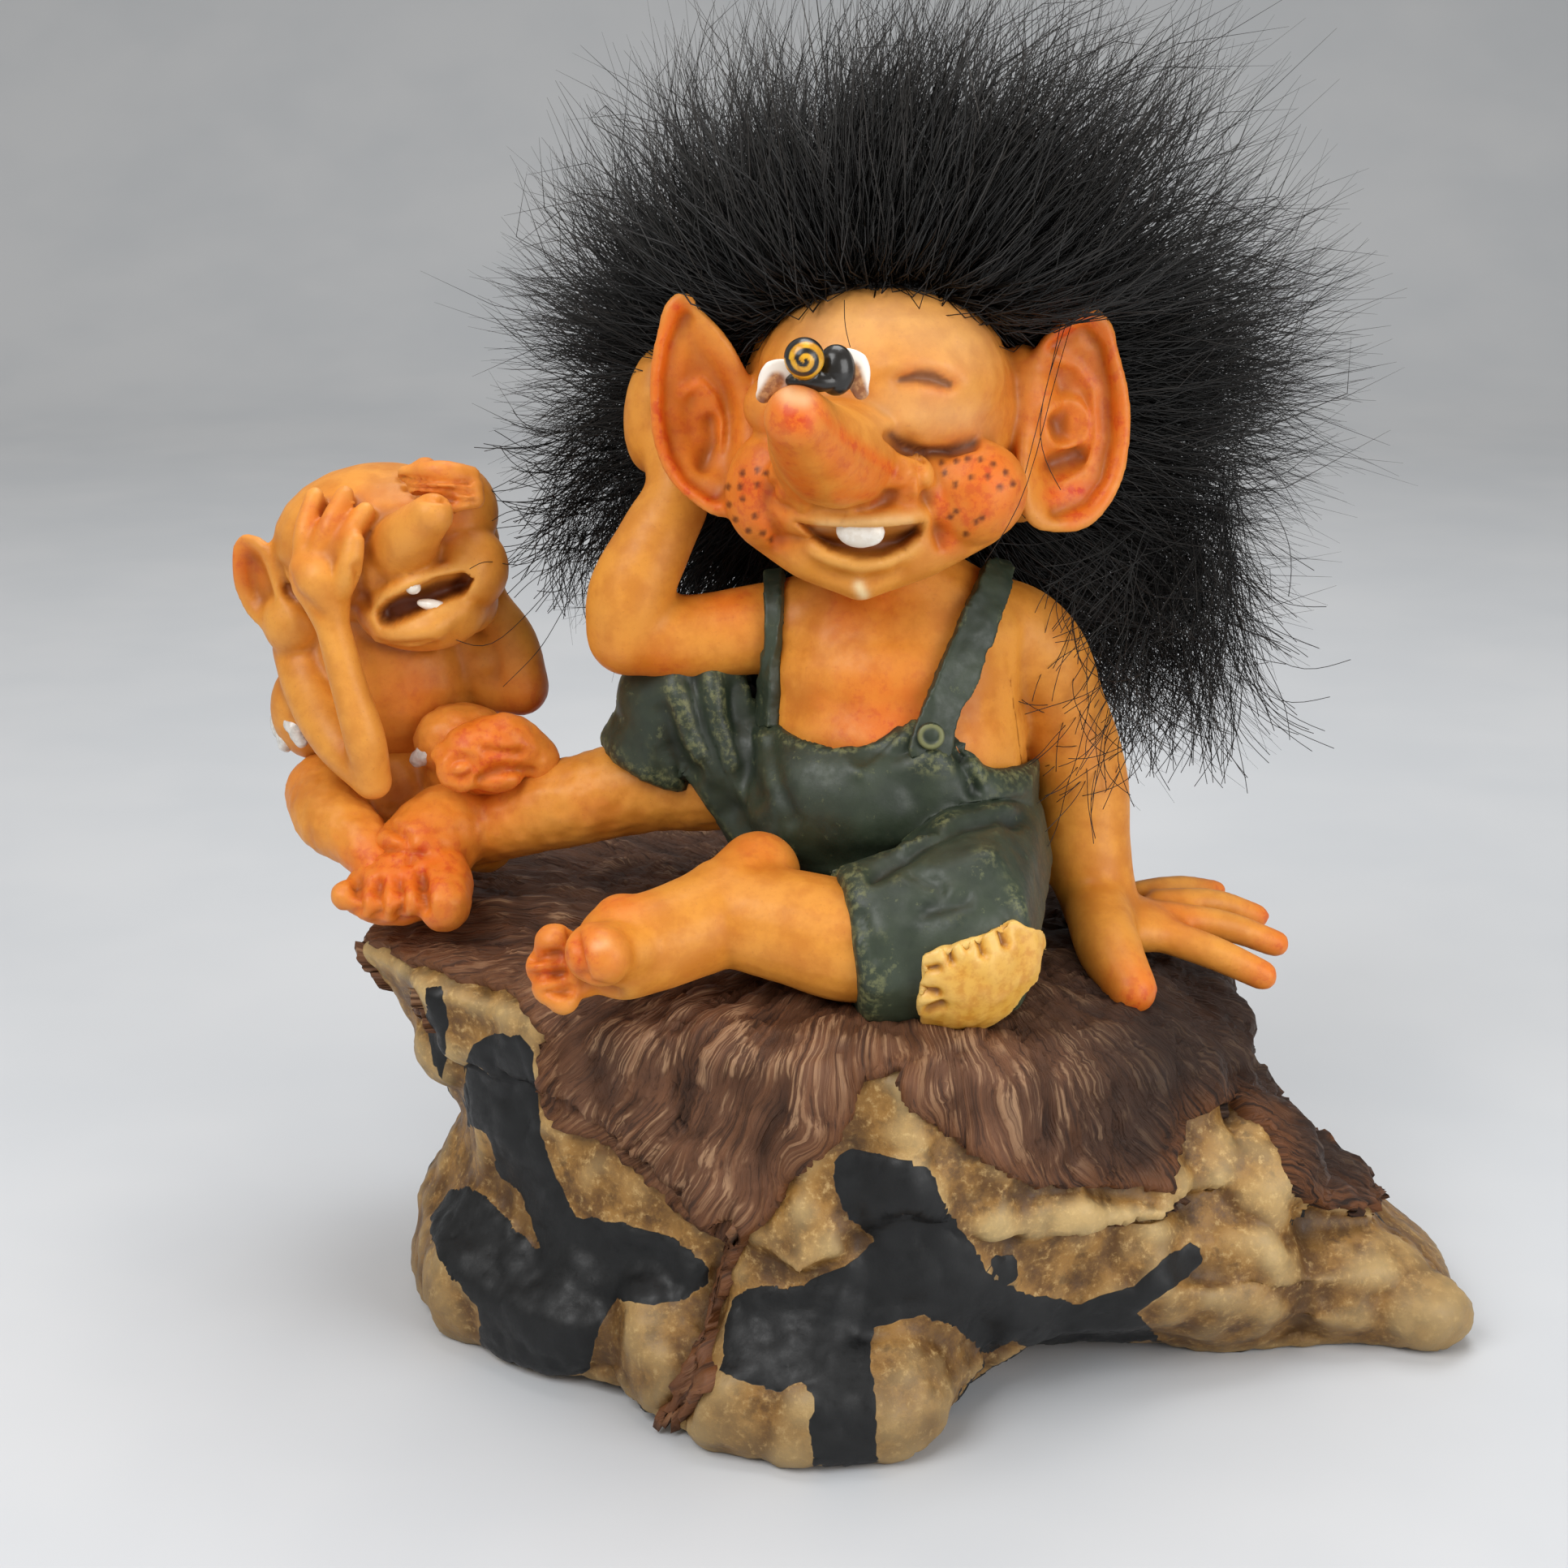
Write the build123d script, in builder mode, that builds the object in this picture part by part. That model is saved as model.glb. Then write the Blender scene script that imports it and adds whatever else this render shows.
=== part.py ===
"""Folk troll figure: a barefoot troll boy in dungarees and a bald little troll on a rock with a bark top.

The figure is a set of painted castings, keyed and glued together, with a fur wig on a hide backing.
Millimetres. X runs to the viewer's right, Y away from the viewer, Z up. The origin is on the ground,
under the middle of the figure. The organic castings are skins of flat facets laid over rings of
points, so that neighbours can be cut to each other exactly, and every glue seam is face to face.
"""
from build123d import *
from math import cos, pi, sin
import os

os.makedirs("parts", exist_ok=True)

# Domed ends of limbs, as (reach, size) shares of the end's radius
dome_shares = ((0.9, 0.45), (0.5, 0.86))
# A limb that rises by more than this share of its length is drawn from the front
steep_share = 0.98

# Counts of facets round the castings, and of rows up them
finger_sides = 6
palm_sides, palm_rows = 10, 5
limb_sides = 8
thick_limb_sides = 10
cheek_sides, cheek_rows = 10, 6
lump_sides, lump_rows = 12, 7
skull_sides, skull_rows = 14, 9

# Rock: one share for every 15 degrees round its centre, from the viewer's right, over the back
rock_centre = (4.0, -2.0)
rock_reach = 60.0
rock_height = 31.0
rock_foot_chamfer = 1.4
rock_arch_height = 2.6
rock_foot_shares = (0.92, 0.80, 0.70, 0.62, 0.58, 0.56, 0.56, 0.58, 0.62, 0.68, 0.76, 0.81,
                    0.83, 0.79, 0.70, 0.65, 0.67, 0.69, 0.64, 0.47, 0.41, 0.46, 0.62, 0.98)
rock_lobe_shares = (0.92, 0.82, 0.71, 0.64, 0.59, 0.57, 0.57, 0.59, 0.63, 0.69, 0.76, 0.80,
                    0.81, 0.79, 0.71, 0.66, 0.67, 0.68, 0.64, 0.51, 0.48, 0.55, 0.70, 0.96)
rock_waist_shares = (0.84, 0.76, 0.66, 0.59, 0.55, 0.54, 0.54, 0.56, 0.60, 0.66, 0.72, 0.74,
                     0.73, 0.70, 0.64, 0.58, 0.58, 0.60, 0.57, 0.52, 0.52, 0.60, 0.72, 0.90)
rock_top_shares = (0.55, 0.56, 0.55, 0.53, 0.51, 0.50, 0.50, 0.53, 0.58, 0.68, 0.77, 0.81,
                   0.79, 0.70, 0.61, 0.54, 0.52, 0.53, 0.53, 0.52, 0.51, 0.51, 0.53, 0.55)
# A foot of the rock stands where the lift share is 0, and the edge arches up where it is 1
rock_lift_shares = (0.0, 0.7, 1.0, 0.6, 0.0, 0.0, 0.0, 0.0, 0.6, 1.0, 1.0, 0.5,
                    0.0, 0.0, 0.0, 0.5, 0.3, 0.0, 0.0, 0.8, 1.0, 1.0, 0.0, 0.0)
rock_waist_level_shares = (0.27, 0.28, 0.30, 0.36, 0.40, 0.40, 0.40, 0.42, 0.46, 0.50, 0.55, 0.58,
                           0.55, 0.46, 0.42, 0.42, 0.42, 0.40, 0.38, 0.36, 0.36, 0.34, 0.30, 0.24)
rock_top_level_shares = (0.66, 0.74, 0.84, 0.92, 0.96, 0.98, 1.0, 1.0, 1.0, 1.0, 1.0, 1.0,
                         1.0, 1.0, 0.98, 0.96, 0.94, 0.92, 0.92, 0.90, 0.88, 0.82, 0.74, 0.66)
rock_floor_share = 0.72
rock_lobe_height_share = 0.55
rock_key_size = 12.0
rock_key_height = 3.0

# Bark top of the stump, a cap that hangs over the rock's sides
bark_thickness = 2.6
seat_height = 38.4
bark_edge_drop = 2.2
bark_reach = 54.0
bark_rim_shares = (0.62, 0.62, 0.61, 0.60, 0.58, 0.57, 0.58, 0.61, 0.68, 0.80, 0.95, 1.02,
                   0.99, 0.88, 0.74, 0.66, 0.63, 0.61, 0.60, 0.59, 0.58, 0.58, 0.60, 0.61)
bark_top_level_shares = (0.80, 0.84, 0.90, 0.95, 0.98, 1.0, 1.0, 1.0, 1.01, 1.02, 1.02, 1.0,
                         0.98, 0.98, 0.98, 0.99, 0.99, 0.99, 0.98, 0.96, 0.93, 0.89, 0.84, 0.80)
bark_hem_level_shares = (0.36, 0.42, 0.50, 0.60, 0.66, 0.70, 0.72, 0.72, 0.74, 0.78, 0.84, 0.88,
                         0.90, 0.92, 0.94, 0.80, 0.64, 0.55, 0.78, 0.62, 0.60, 0.60, 0.62, 0.38)
bark_shoulder_share = 0.9
bark_crown_share = 0.6
bark_crown_drop_share = 0.25
bark_side_share = 0.96
# Grooves between the bark's ridges, two for every 30 degrees
bark_groove_depth = 1.4
bark_shoulder_groove_share = 0.6

# Torso: sections as (up, sideways, back, half width, half depth) shares of its own sizes
torso_place = (4.0, -2.0)
torso_height = 37.5
torso_half_width = 14.0
torso_half_depth = 11.5
torso_sides = 14
torso_section_shares = ((-0.06, 0.05, 0.10, 0.86, 0.82), (0.10, 0.06, 0.06, 1.0, 0.98),
                        (0.28, 0.0, -0.10, 0.97, 1.06), (0.48, -0.02, -0.12, 0.92, 1.02),
                        (0.66, -0.02, -0.08, 0.88, 0.88), (0.82, 0.0, 0.0, 0.90, 0.74),
                        (0.92, 0.0, 0.06, 0.70, 0.60), (1.0, -0.06, 0.02, 0.40, 0.46))
neck_key_size = 5.0
neck_key_height = 5.0
arm_key_size = 4.0

# Dungarees: cloth over the torso, with both trouser legs
cloth_thickness = 1.1
bib_height = 21.5
# Top edge of the bib and waist, from the viewer's right, over the back, to the front
bib_level_shares = (0.80, 0.82, 0.88, 0.92, 0.92, 0.90, 0.92, 0.96, 1.00, 0.94, 0.88, 1.00, 0.86, 0.80)
seat_key_size = 9.0
seat_key_depth = 2.8
leg_key_size = 3.6
hip_radius = 8.4
raised_hip = (-2.5, -3.0, 47.0)
raised_knee = (-16.8, 1.0, 60.0)
raised_cuff = (-19.2, 1.4, 54.0)
raised_knee_radius = 6.7
raised_cuff_radius = 6.0
folded_hip = (12.0, -5.0, 46.4)
folded_knee = (9.6, -23.0, 45.2)
folded_cuff = (-0.6, -24.4, 44.0)
folded_knee_radius = 8.7
folded_cuff_radius = 6.9
brace_width = 2.7
brace_thickness = 1.6
# Slanted runs of the braces over the front and back, as (sideways, up) shares of the torso
left_brace_shares = ((-0.88, 0.54), (-0.80, 1.0))
right_brace_shares = ((0.20, 0.54), (0.70, 1.0))
button_radius = 1.2
button_thickness = 0.8
button_dish_radius = 0.7
button_dish_depth = 0.3
button_place = (6.7, -15.0, 61.3)
button_lean_share = 0.3
patch_thickness = 0.5
patch_sizes = (9.8, 11.0)
patch_place = (11.0, -27.0, 42.4)
patch_tilt = 20.0

# Legs and feet
raised_calf_radius = 4.3
raised_ankle_radius = 3.7
folded_calf_radius = 5.6
folded_ankle_radius = 4.9
raised_shin = (-28.0, 2.0, 49.8)
raised_ankle = (-36.4, 3.2, 46.8)
raised_heel = (-38.2, 6.4, 43.4)
raised_ball = (-41.0, -3.0, 42.6)
folded_shin = (-5.2, -23.6, 44.6)
folded_ankle = (-11.6, -22.6, 45.6)
folded_heel = (-9.8, -18.6, 48.6)
folded_ball = (-20.6, -26.6, 44.8)
raised_heel_radius = 3.6
raised_ball_radius = 4.4
folded_heel_radius = 4.0
folded_ball_radius = 5.0
raised_foot_flat_share = 0.8
big_toe_radius = 2.5
big_toe_length = 5.2
toe_radius = 1.5
toe_length = 3.6
# Toe places from the ball of the foot, as shares of its radius, the big toe first
raised_toe_shares = ((0.75, -0.2, 0.30), (0.25, -0.35, 0.15), (-0.25, -0.3, 0.0), (-0.7, -0.1, -0.2))
folded_toe_shares = ((-0.2, -0.4, 0.55), (-0.75, -0.1, -0.05), (-0.7, 0.0, -0.4), (-0.5, 0.1, -0.75))
raised_toe_heading_shares = (-0.35, -0.92, -0.15)
folded_toe_heading_shares = (-0.86, -0.5, 0.05)

# Arms and hands
propping_shoulder_radius = 5.4
propping_elbow_radius = 4.5
propping_wrist_radius = 3.8
resting_shoulder_radius = 4.4
resting_elbow_radius = 3.9
resting_forearm_radius = 4.0
resting_wrist_radius = 2.9
finger_radius = 1.5
finger_length = 15.5
knuckle_share = 0.55
fingertip_share = 0.85
thumb_radius = 2.2
thumb_length = 13.5
propping_shoulder = (14.8, 0.2, 67.4)
propping_elbow = (21.2, 1.4, 54.0)
propping_wrist = (23.2, -1.0, 43.4)
propping_palm = (26.0, -3.0, 38.4)
propping_palm_radii = (6.4, 5.4, 2.9)
propping_palm_tilt = 12.0
propping_finger_shares = ((1.0, -0.16, -0.28), (1.08, 0.10, -0.20), (0.98, 0.38, -0.10), (0.74, 0.62, -0.02))
propping_thumb_shares = (0.06, -1.05, -0.14)
resting_shoulder = (-5.4, 0.4, 68.4)
resting_elbow = (-22.0, -3.2, 68.4)
resting_forearm = (-19.8, -3.6, 75.0)
resting_wrist = (-16.4, -0.4, 81.2)
resting_palm = (-18.6, 2.8, 87.6)
resting_palm_radii = (3.4, 3.4, 6.0)
resting_finger_shares = ((-0.06, 0.26, 0.46), (0.14, 0.30, 0.44), (0.34, 0.32, 0.34), (0.46, 0.34, 0.16))

# Head
skull_centre = (1.9, -1.2, 90.0)
skull_radii = (13.0, 14.0, 13.4)
cheek_radii = (5.6, 5.0, 5.2)
left_cheek = (-7.2, -11.4, 84.4)
right_cheek = (11.0, -10.4, 84.0)
jaw_centre = (1.4, -8.6, 81.0)
jaw_radii = (9.6, 8.2, 5.4)
chin_place = (0.0, -13.6, 77.0)
chin_radius = 3.0
nose_root = (-1.6, -12.6, 87.0)
nose_bridge = (-2.8, -18.8, 88.0)
nose_middle = (-4.6, -25.2, 90.8)
nose_tip = (-6.0, -29.6, 93.2)
nose_root_radius = 6.2
nose_bridge_radius = 5.0
nose_middle_radius = 3.8
nose_tip_radius = 2.5
mouth_place = (-0.2, -16.2, 80.5)
mouth_radii = (5.8, 3.0, 1.5)
mouth_turn = -4.0
tooth_sizes = (3.0, 1.4, 2.4)
tooth_fillet = 0.4
tooth_place = (-0.4, -15.4, 81.2)
ear_thickness = 1.6
ear_bowl_depth = 0.9
ear_lip_share = 0.72
ear_rim_share = 0.5
ear_fold_share = 0.3
left_ear_root = (-8.6, -3.4, 89.2)
left_ear_span = (-10.2, -2.2, 0.6)
left_ear_rise = (-3.6, 1.0, 10.4)
right_ear_root = (13.0, -0.4, 88.2)
right_ear_span = (11.4, -3.4, -1.0)
right_ear_rise = (5.4, 1.6, 9.8)
# Ear outline from the root, over the pointed tip, round to the lobe, as (across, up)
ear_outline_shares = ((0.0, 0.58), (0.22, 0.88), (0.40, 1.04), (0.70, 0.80), (0.94, 0.40),
                      (1.02, -0.06), (0.94, -0.52), (0.68, -0.84), (0.30, -0.82), (0.0, -0.50))

# Wig: a hide cap glued to the skull, with long fur on it
hide_thickness = 0.8
hide_edge_place = (2.0, -11.4, 99.0)
hide_edge_heading_shares = (0.0, 0.80, 0.60)
hair_centre = (5.0, 17.5, 88.0)
hair_reach = 54.0
hair_depth = 18.0
hair_lean_share = 0.42
# Share of the reach for every 15 degrees, from the viewer's right, over the crown, to the left and down
hair_outline_shares = (0.84, 0.83, 0.86, 0.86, 0.84, 0.82, 0.80, 0.80, 0.80, 0.78, 0.76, 0.76,
                       0.74, 0.72, 0.70, 0.74, 0.62, 0.48, 0.42, 0.56, 0.86, 0.93, 0.84, 0.84)
# Bands from the front to the back, as (share of the depth, share of the outline)
hair_band_shares = ((-1.25, 0.26), (-0.90, 0.36), (-0.62, 0.66), (-0.2, 0.93), (0.2, 1.0), (0.62, 0.84),
                    (0.95, 0.42))

# Bee on the nose
bee_place = (-5.2, -27.6, 97.5)
bee_length = 5.0
bee_radius = 1.75
bee_waist_radius = 0.9
bee_chest_radius = 1.2
# Places of the bee's widest ring, waist and chest along its length
bee_ring_shares = (-0.15, 0.12, 0.26)
bee_dip_share = 0.25
bee_wing_length = 4.8
bee_wing_width = 3.2
bee_wing_thickness = 0.5
bee_wing_droop_share = 0.7
bee_wing_level_share = 0.4

# Little troll
little_hip = (-47.4, 13.6, 46.6)
little_hip_radii = (10.4, 8.8, 7.4)
little_chest = (-47.4, 13.6, 59.0)
little_chest_radii = (10.0, 7.6, 9.6)
little_waist_height = 53.4
little_waist_key_size = 5.0
little_waist_key_height = 3.0
little_skull = (-47.2, 12.4, 73.2)
little_skull_radii = (11.2, 10.2, 8.6)
little_jaw = (-43.4, 6.4, 68.6)
little_jaw_radii = (7.0, 5.2, 4.4)
little_nose_root = (-44.6, 5.6, 73.4)
little_nose_middle = (-42.6, 1.4, 76.6)
little_nose_tip = (-40.6, -0.8, 79.2)
little_nose_root_radius = 3.9
little_nose_middle_radius = 2.8
little_nose_tip_radius = 1.9
little_mouth_place = (-42.6, 2.0, 69.8)
little_mouth_radii = (4.8, 2.8, 1.4)
little_mouth_turn = -22.0
little_tooth_sizes = (1.8, 1.4, 1.2)
little_tooth_fillet = 0.25
little_tooth_place = (-41.2, 3.0, 69.3)
little_ear_root = (-56.4, 12.0, 68.8)
little_ear_span = (-5.2, 0.4, 0.4)
little_ear_rise = (-2.2, 0.4, 5.0)
little_ear_thickness = 1.4
little_ear_bowl_depth = 0.6
little_arm_radius = 2.5
little_palm_radii = (3.4, 2.0, 3.4)
little_finger_radius = 1.05
little_finger_length = 6.0
left_little_shoulder = (-55.6, 12.0, 60.4)
left_little_elbow = (-47.2, -0.2, 53.8)
left_little_wrist = (-49.8, 2.2, 69.4)
left_little_palm = (-51.0, 4.2, 73.4)
left_little_finger_shares = ((-0.70, 0.3, 0.70), (-0.30, 0.2, 0.98), (0.12, 0.1, 1.0), (0.50, 0.0, 0.78))
right_little_shoulder = (-38.8, 13.6, 62.6)
right_little_elbow = (-34.6, 12.4, 58.4)
right_little_wrist = (-37.4, 10.4, 71.0)
right_little_palm = (-38.6, 8.0, 76.4)
right_little_finger_shares = ((-0.76, -0.50, 0.66), (-0.80, -0.60, 0.40), (-0.78, -0.66, 0.12),
                              (-0.70, -0.70, -0.15))
little_calf_radius = 3.3
little_ball_radius = 3.2
little_toe_radius = 1.25
little_toe_length = 2.4
left_little_knee = (-52.4, 5.2, 47.4)
left_little_ankle = (-49.0, -0.6, 45.4)
left_little_ball = (-46.8, -4.4, 43.4)
right_little_knee = (-40.6, 7.6, 51.2)
right_little_ankle = (-37.0, 3.6, 53.0)
right_little_ball = (-35.2, 0.8, 54.0)
little_toe_shares = ((-0.80, -0.45, -0.1), (-0.28, -0.6, 0.0), (0.28, -0.6, 0.0), (0.80, -0.45, -0.1))
little_toe_heading_shares = (0.1, -0.95, -0.3)


def centroid(ring):
    """The middle of a ring of points."""
    total = Vector(0, 0, 0)
    for point in ring:
        total += point
    return total / len(ring)


def triangle(a, b, c):
    """One flat facet."""
    return Face(Wire.make_polygon([a, b, c]))


def band(lower, upper):
    """Facets between two rings of the same count, or between a ring and a pole."""
    count = max(len(lower), len(upper))
    faces = []
    for k in range(count):
        n = (k + 1) % count
        if len(lower) == 1:
            faces.append(triangle(lower[0], upper[k], upper[n]))
        elif len(upper) == 1:
            faces.append(triangle(lower[k], lower[n], upper[0]))
        elif (lower[k] - upper[n]).length < (lower[n] - upper[k]).length:
            faces += [triangle(lower[k], lower[n], upper[n]), triangle(lower[k], upper[n], upper[k])]
        else:
            faces += [triangle(lower[k], lower[n], upper[k]), triangle(lower[n], upper[n], upper[k])]
    return faces


def faceted(rings):
    """A closed solid with flat facets over a stack of rings, closed at both ends."""
    rings = [list(ring) for ring in rings]
    if len(rings[0]) > 1:
        rings.insert(0, [centroid(rings[0])])
    if len(rings[-1]) > 1:
        rings.append([centroid(rings[-1])])
    faces = []
    for lower, upper in zip(rings, rings[1:]):
        faces += band(lower, upper)
    return Solid(Shell(faces))


def ellipse(centre, across, beside, half_width, half_height, sides):
    """Points of an ellipse round a centre, in the plane of two unit vectors."""
    turns = [2 * pi * k / sides for k in range(sides)]
    return [centre + across * (half_width * cos(t)) + beside * (half_height * sin(t)) for t in turns]


def limb(joints, sizes, sides=limb_sides, flat_share=1.0, blunt=False):
    """A tapered, bent form through its joints, with domed ends, or a flat far end where it is blunt."""
    points = [Vector(joint) for joint in joints]
    steps = [(b - a).normalized() for a, b in zip(points, points[1:])]
    headings = [steps[0]] + [(a + b).normalized() for a, b in zip(steps, steps[1:])] + [steps[-1]]
    upright = Vector(0, 0, 1)
    if abs(steps[0].Z) > steep_share:
        upright = Vector(0, 1, 0)
    across = upright.cross(steps[0])
    frames = []
    for heading in headings:
        across = (across - heading * across.dot(heading)).normalized()
        frames.append((across, heading.cross(across)))
    rings = [[points[0] - steps[0] * sizes[0]]]
    for reach_share, size_share in dome_shares:
        half = sizes[0] * size_share
        rings.append(ellipse(points[0] - steps[0] * (sizes[0] * reach_share), *frames[0],
                             half, half * flat_share, sides))
    for point, frame, size in zip(points, frames, sizes):
        rings.append(ellipse(point, *frame, size, size * flat_share, sides))
    if not blunt:
        for reach_share, size_share in reversed(dome_shares):
            half = sizes[-1] * size_share
            rings.append(ellipse(points[-1] + steps[-1] * (sizes[-1] * reach_share), *frames[-1],
                                 half, half * flat_share, sides))
        rings.append([points[-1] + steps[-1] * sizes[-1]])
    return faceted(rings)


def lump(centre, radii, sides=lump_sides, rows=lump_rows, turn=(0, 0, 0)):
    """A faceted egg round a centre, turned by three angles."""
    rings = []
    for row in range(rows + 1):
        slope = -pi / 2 + pi * row / rows
        middle = Vector(0, 0, radii[2] * sin(slope))
        if row in (0, rows):
            rings.append([middle])
        else:
            reach = cos(slope)
            rings.append(ellipse(middle, Vector(1, 0, 0), Vector(0, 1, 0),
                                 radii[0] * reach, radii[1] * reach, sides))
    return faceted(rings).moved(Location(centre, turn))


def polar_ring(centre, reaches, heights):
    """A ring round a vertical axis with its own reach and height in every direction."""
    points = []
    for k, (reach, height) in enumerate(zip(reaches, heights)):
        turn = 2 * pi * k / len(reaches)
        points.append(Vector(centre[0] + reach * cos(turn), centre[1] + reach * sin(turn), height))
    return points


def offset_point(start, shares, size):
    """A point that lies away from the start by shares of a size."""
    return tuple(Vector(*start) + Vector(*shares) * size)


def finger(palm, shares, length, size):
    """One tapered finger from the palm to its tip."""
    middle = offset_point(palm, shares, length * knuckle_share)
    tip = offset_point(palm, shares, length - size)
    return limb((palm, middle, tip), (size, size, size * fingertip_share), finger_sides)


def toe(ball, shares, ball_size, heading_shares, length, size):
    """One short toe that starts beside the ball of the foot."""
    root = offset_point(ball, shares, ball_size)
    return limb((root, offset_point(root, heading_shares, length)), (size, size), finger_sides)


def toes(ball, toe_shares, ball_size, heading_shares):
    """The big toe and its neighbours."""
    big = toe(ball, toe_shares[0], ball_size, heading_shares, big_toe_length, big_toe_radius)
    return [big] + [toe(ball, shares, ball_size, heading_shares, toe_length, toe_radius)
                    for shares in toe_shares[1:]]


def ear(root, span, rise, thickness, bowl_depth):
    """A pointed ear, dished inside its lip."""
    root, span, rise = Vector(*root), Vector(*span), Vector(*rise)
    front = rise.cross(span).normalized()
    if front.Y > 0:
        front = front * -1
    outline = [root + span * across + rise * up for across, up in ear_outline_shares]
    middle = centroid(outline)
    lip = [middle + (point - middle) * ear_lip_share for point in outline]
    return faceted([
        [middle - front * thickness],
        outline,
        [point + front * (thickness * ear_rim_share) for point in outline],
        [point + front * (thickness * ear_fold_share) for point in lip],
        [middle - front * (bowl_depth - thickness * ear_fold_share)],
    ])


def torso_sections(shares, growth):
    """Rings round the torso, grown outwards for what is worn over it."""
    sections = []
    for up, side, back, wide, deep in shares:
        middle = Vector(torso_place[0] + torso_half_width * side, torso_place[1] + torso_half_depth * back,
                        seat_height + torso_height * up)
        sections.append(ellipse(middle, Vector(1, 0, 0), Vector(0, 1, 0), torso_half_width * wide + growth,
                                torso_half_depth * deep + growth, torso_sides))
    return sections


def rock_reach_at(direction, height):
    """How far the rock reaches in one direction at a height over its waist."""
    waist = rock_waist_shares[direction]
    waist_height = rock_height * rock_waist_level_shares[direction]
    top_height = rock_height * rock_top_level_shares[direction]
    part_way = min((height - waist_height) / (top_height - waist_height), 1)
    return rock_reach * (waist + (rock_top_shares[direction] - waist) * part_way)


def grooved(ring, depth):
    """A ring round the rock with a groove of a depth between each two of its points."""
    axis = Vector(rock_centre[0], rock_centre[1], 0)
    points = []
    for point, following in zip(ring, ring[1:] + ring[:1]):
        middle = (point + following) / 2
        inwards = axis - Vector(middle.X, middle.Y, 0)
        points += [point, middle + inwards.normalized() * depth]
    return points


def keep_largest(block):
    """Drop the crumbs that a trim leaves beside a casting."""
    block.part = Part(block.part.solids().sort_by(SortBy.VOLUME)[-1:])


# Rock, standing on a flat floor with arched notches in its edge
with BuildPart() as rock_base:
    feet = [rock_reach * s for s in rock_foot_shares]
    lifts = [rock_arch_height * s for s in rock_lift_shares]
    add(faceted([
        polar_ring(rock_centre, [r * rock_floor_share for r in feet], [0] * len(feet)),
        polar_ring(rock_centre, [r - rock_foot_chamfer for r in feet], lifts),
        polar_ring(rock_centre, feet, [lift + rock_foot_chamfer for lift in lifts]),
        polar_ring(rock_centre, [rock_reach * s for s in rock_lobe_shares],
                   [rock_height * rock_lobe_height_share * s for s in rock_waist_level_shares]),
        polar_ring(rock_centre, [rock_reach * s for s in rock_waist_shares],
                   [rock_height * s for s in rock_waist_level_shares]),
        polar_ring(rock_centre, [rock_reach * s for s in rock_top_shares],
                   [rock_height * s for s in rock_top_level_shares]),
        [Vector(rock_centre[0], rock_centre[1], rock_height)],
    ]))
    with Locations((rock_centre[0], rock_centre[1], rock_height)):
        Box(rock_key_size, rock_key_size, rock_key_height * 2)

# Bark cap with its hem over the rock, and a square socket under the seat
with BuildPart() as bark_cap:
    directions = range(len(bark_rim_shares))
    hems = [rock_height * s for s in bark_hem_level_shares]
    tops = [seat_height * s for s in bark_top_level_shares]
    rims = [bark_reach * s for s in bark_rim_shares]
    middles = [(hem + top - bark_edge_drop) / 2 for hem, top in zip(hems, tops)]
    hem_reaches = [rock_reach_at(k, hems[k]) + bark_thickness for k in directions]
    middle_reaches = [max(rock_reach_at(k, middles[k]) + bark_thickness, rims[k] * bark_side_share)
                      for k in directions]
    rim_reaches = [max(rock_reach_at(k, tops[k]) + bark_thickness, rims[k]) for k in directions]
    crowns = [seat_height + (top - seat_height) * bark_crown_drop_share for top in tops]
    add(faceted([
        [Vector(rock_centre[0], rock_centre[1], rock_height - bark_thickness)],
        grooved(polar_ring(rock_centre, [r * bark_crown_share for r in hem_reaches], hems), 0),
        grooved(polar_ring(rock_centre, hem_reaches, hems), bark_groove_depth),
        grooved(polar_ring(rock_centre, middle_reaches, middles), bark_groove_depth),
        grooved(polar_ring(rock_centre, rim_reaches, [top - bark_edge_drop for top in tops]), bark_groove_depth),
        grooved(polar_ring(rock_centre, [r * bark_shoulder_share for r in rim_reaches], tops),
                bark_groove_depth * bark_shoulder_groove_share),
        grooved(polar_ring(rock_centre, [r * bark_crown_share for r in rim_reaches], crowns), 0),
        [Vector(rock_centre[0], rock_centre[1], seat_height)],
    ]))
    add(rock_base.part, mode=Mode.SUBTRACT)
    with Locations((torso_place[0], torso_place[1], seat_height)):
        Box(seat_key_size, seat_key_size, seat_key_depth * 2, mode=Mode.SUBTRACT)
keep_largest(bark_cap)

# Torso of bare skin, with a square key for the head and square sockets for the arms
with BuildPart() as torso:
    sections = torso_sections(torso_section_shares, 0)
    add(faceted(sections))
    with Locations(tuple(centroid(sections[-1]))):
        Box(neck_key_size, neck_key_size, neck_key_height * 2)
    with Locations(propping_shoulder, resting_shoulder):
        Box(arm_key_size, arm_key_size, arm_key_size, mode=Mode.SUBTRACT)
    add(bark_cap.part, mode=Mode.SUBTRACT)
keep_largest(torso)

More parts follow.
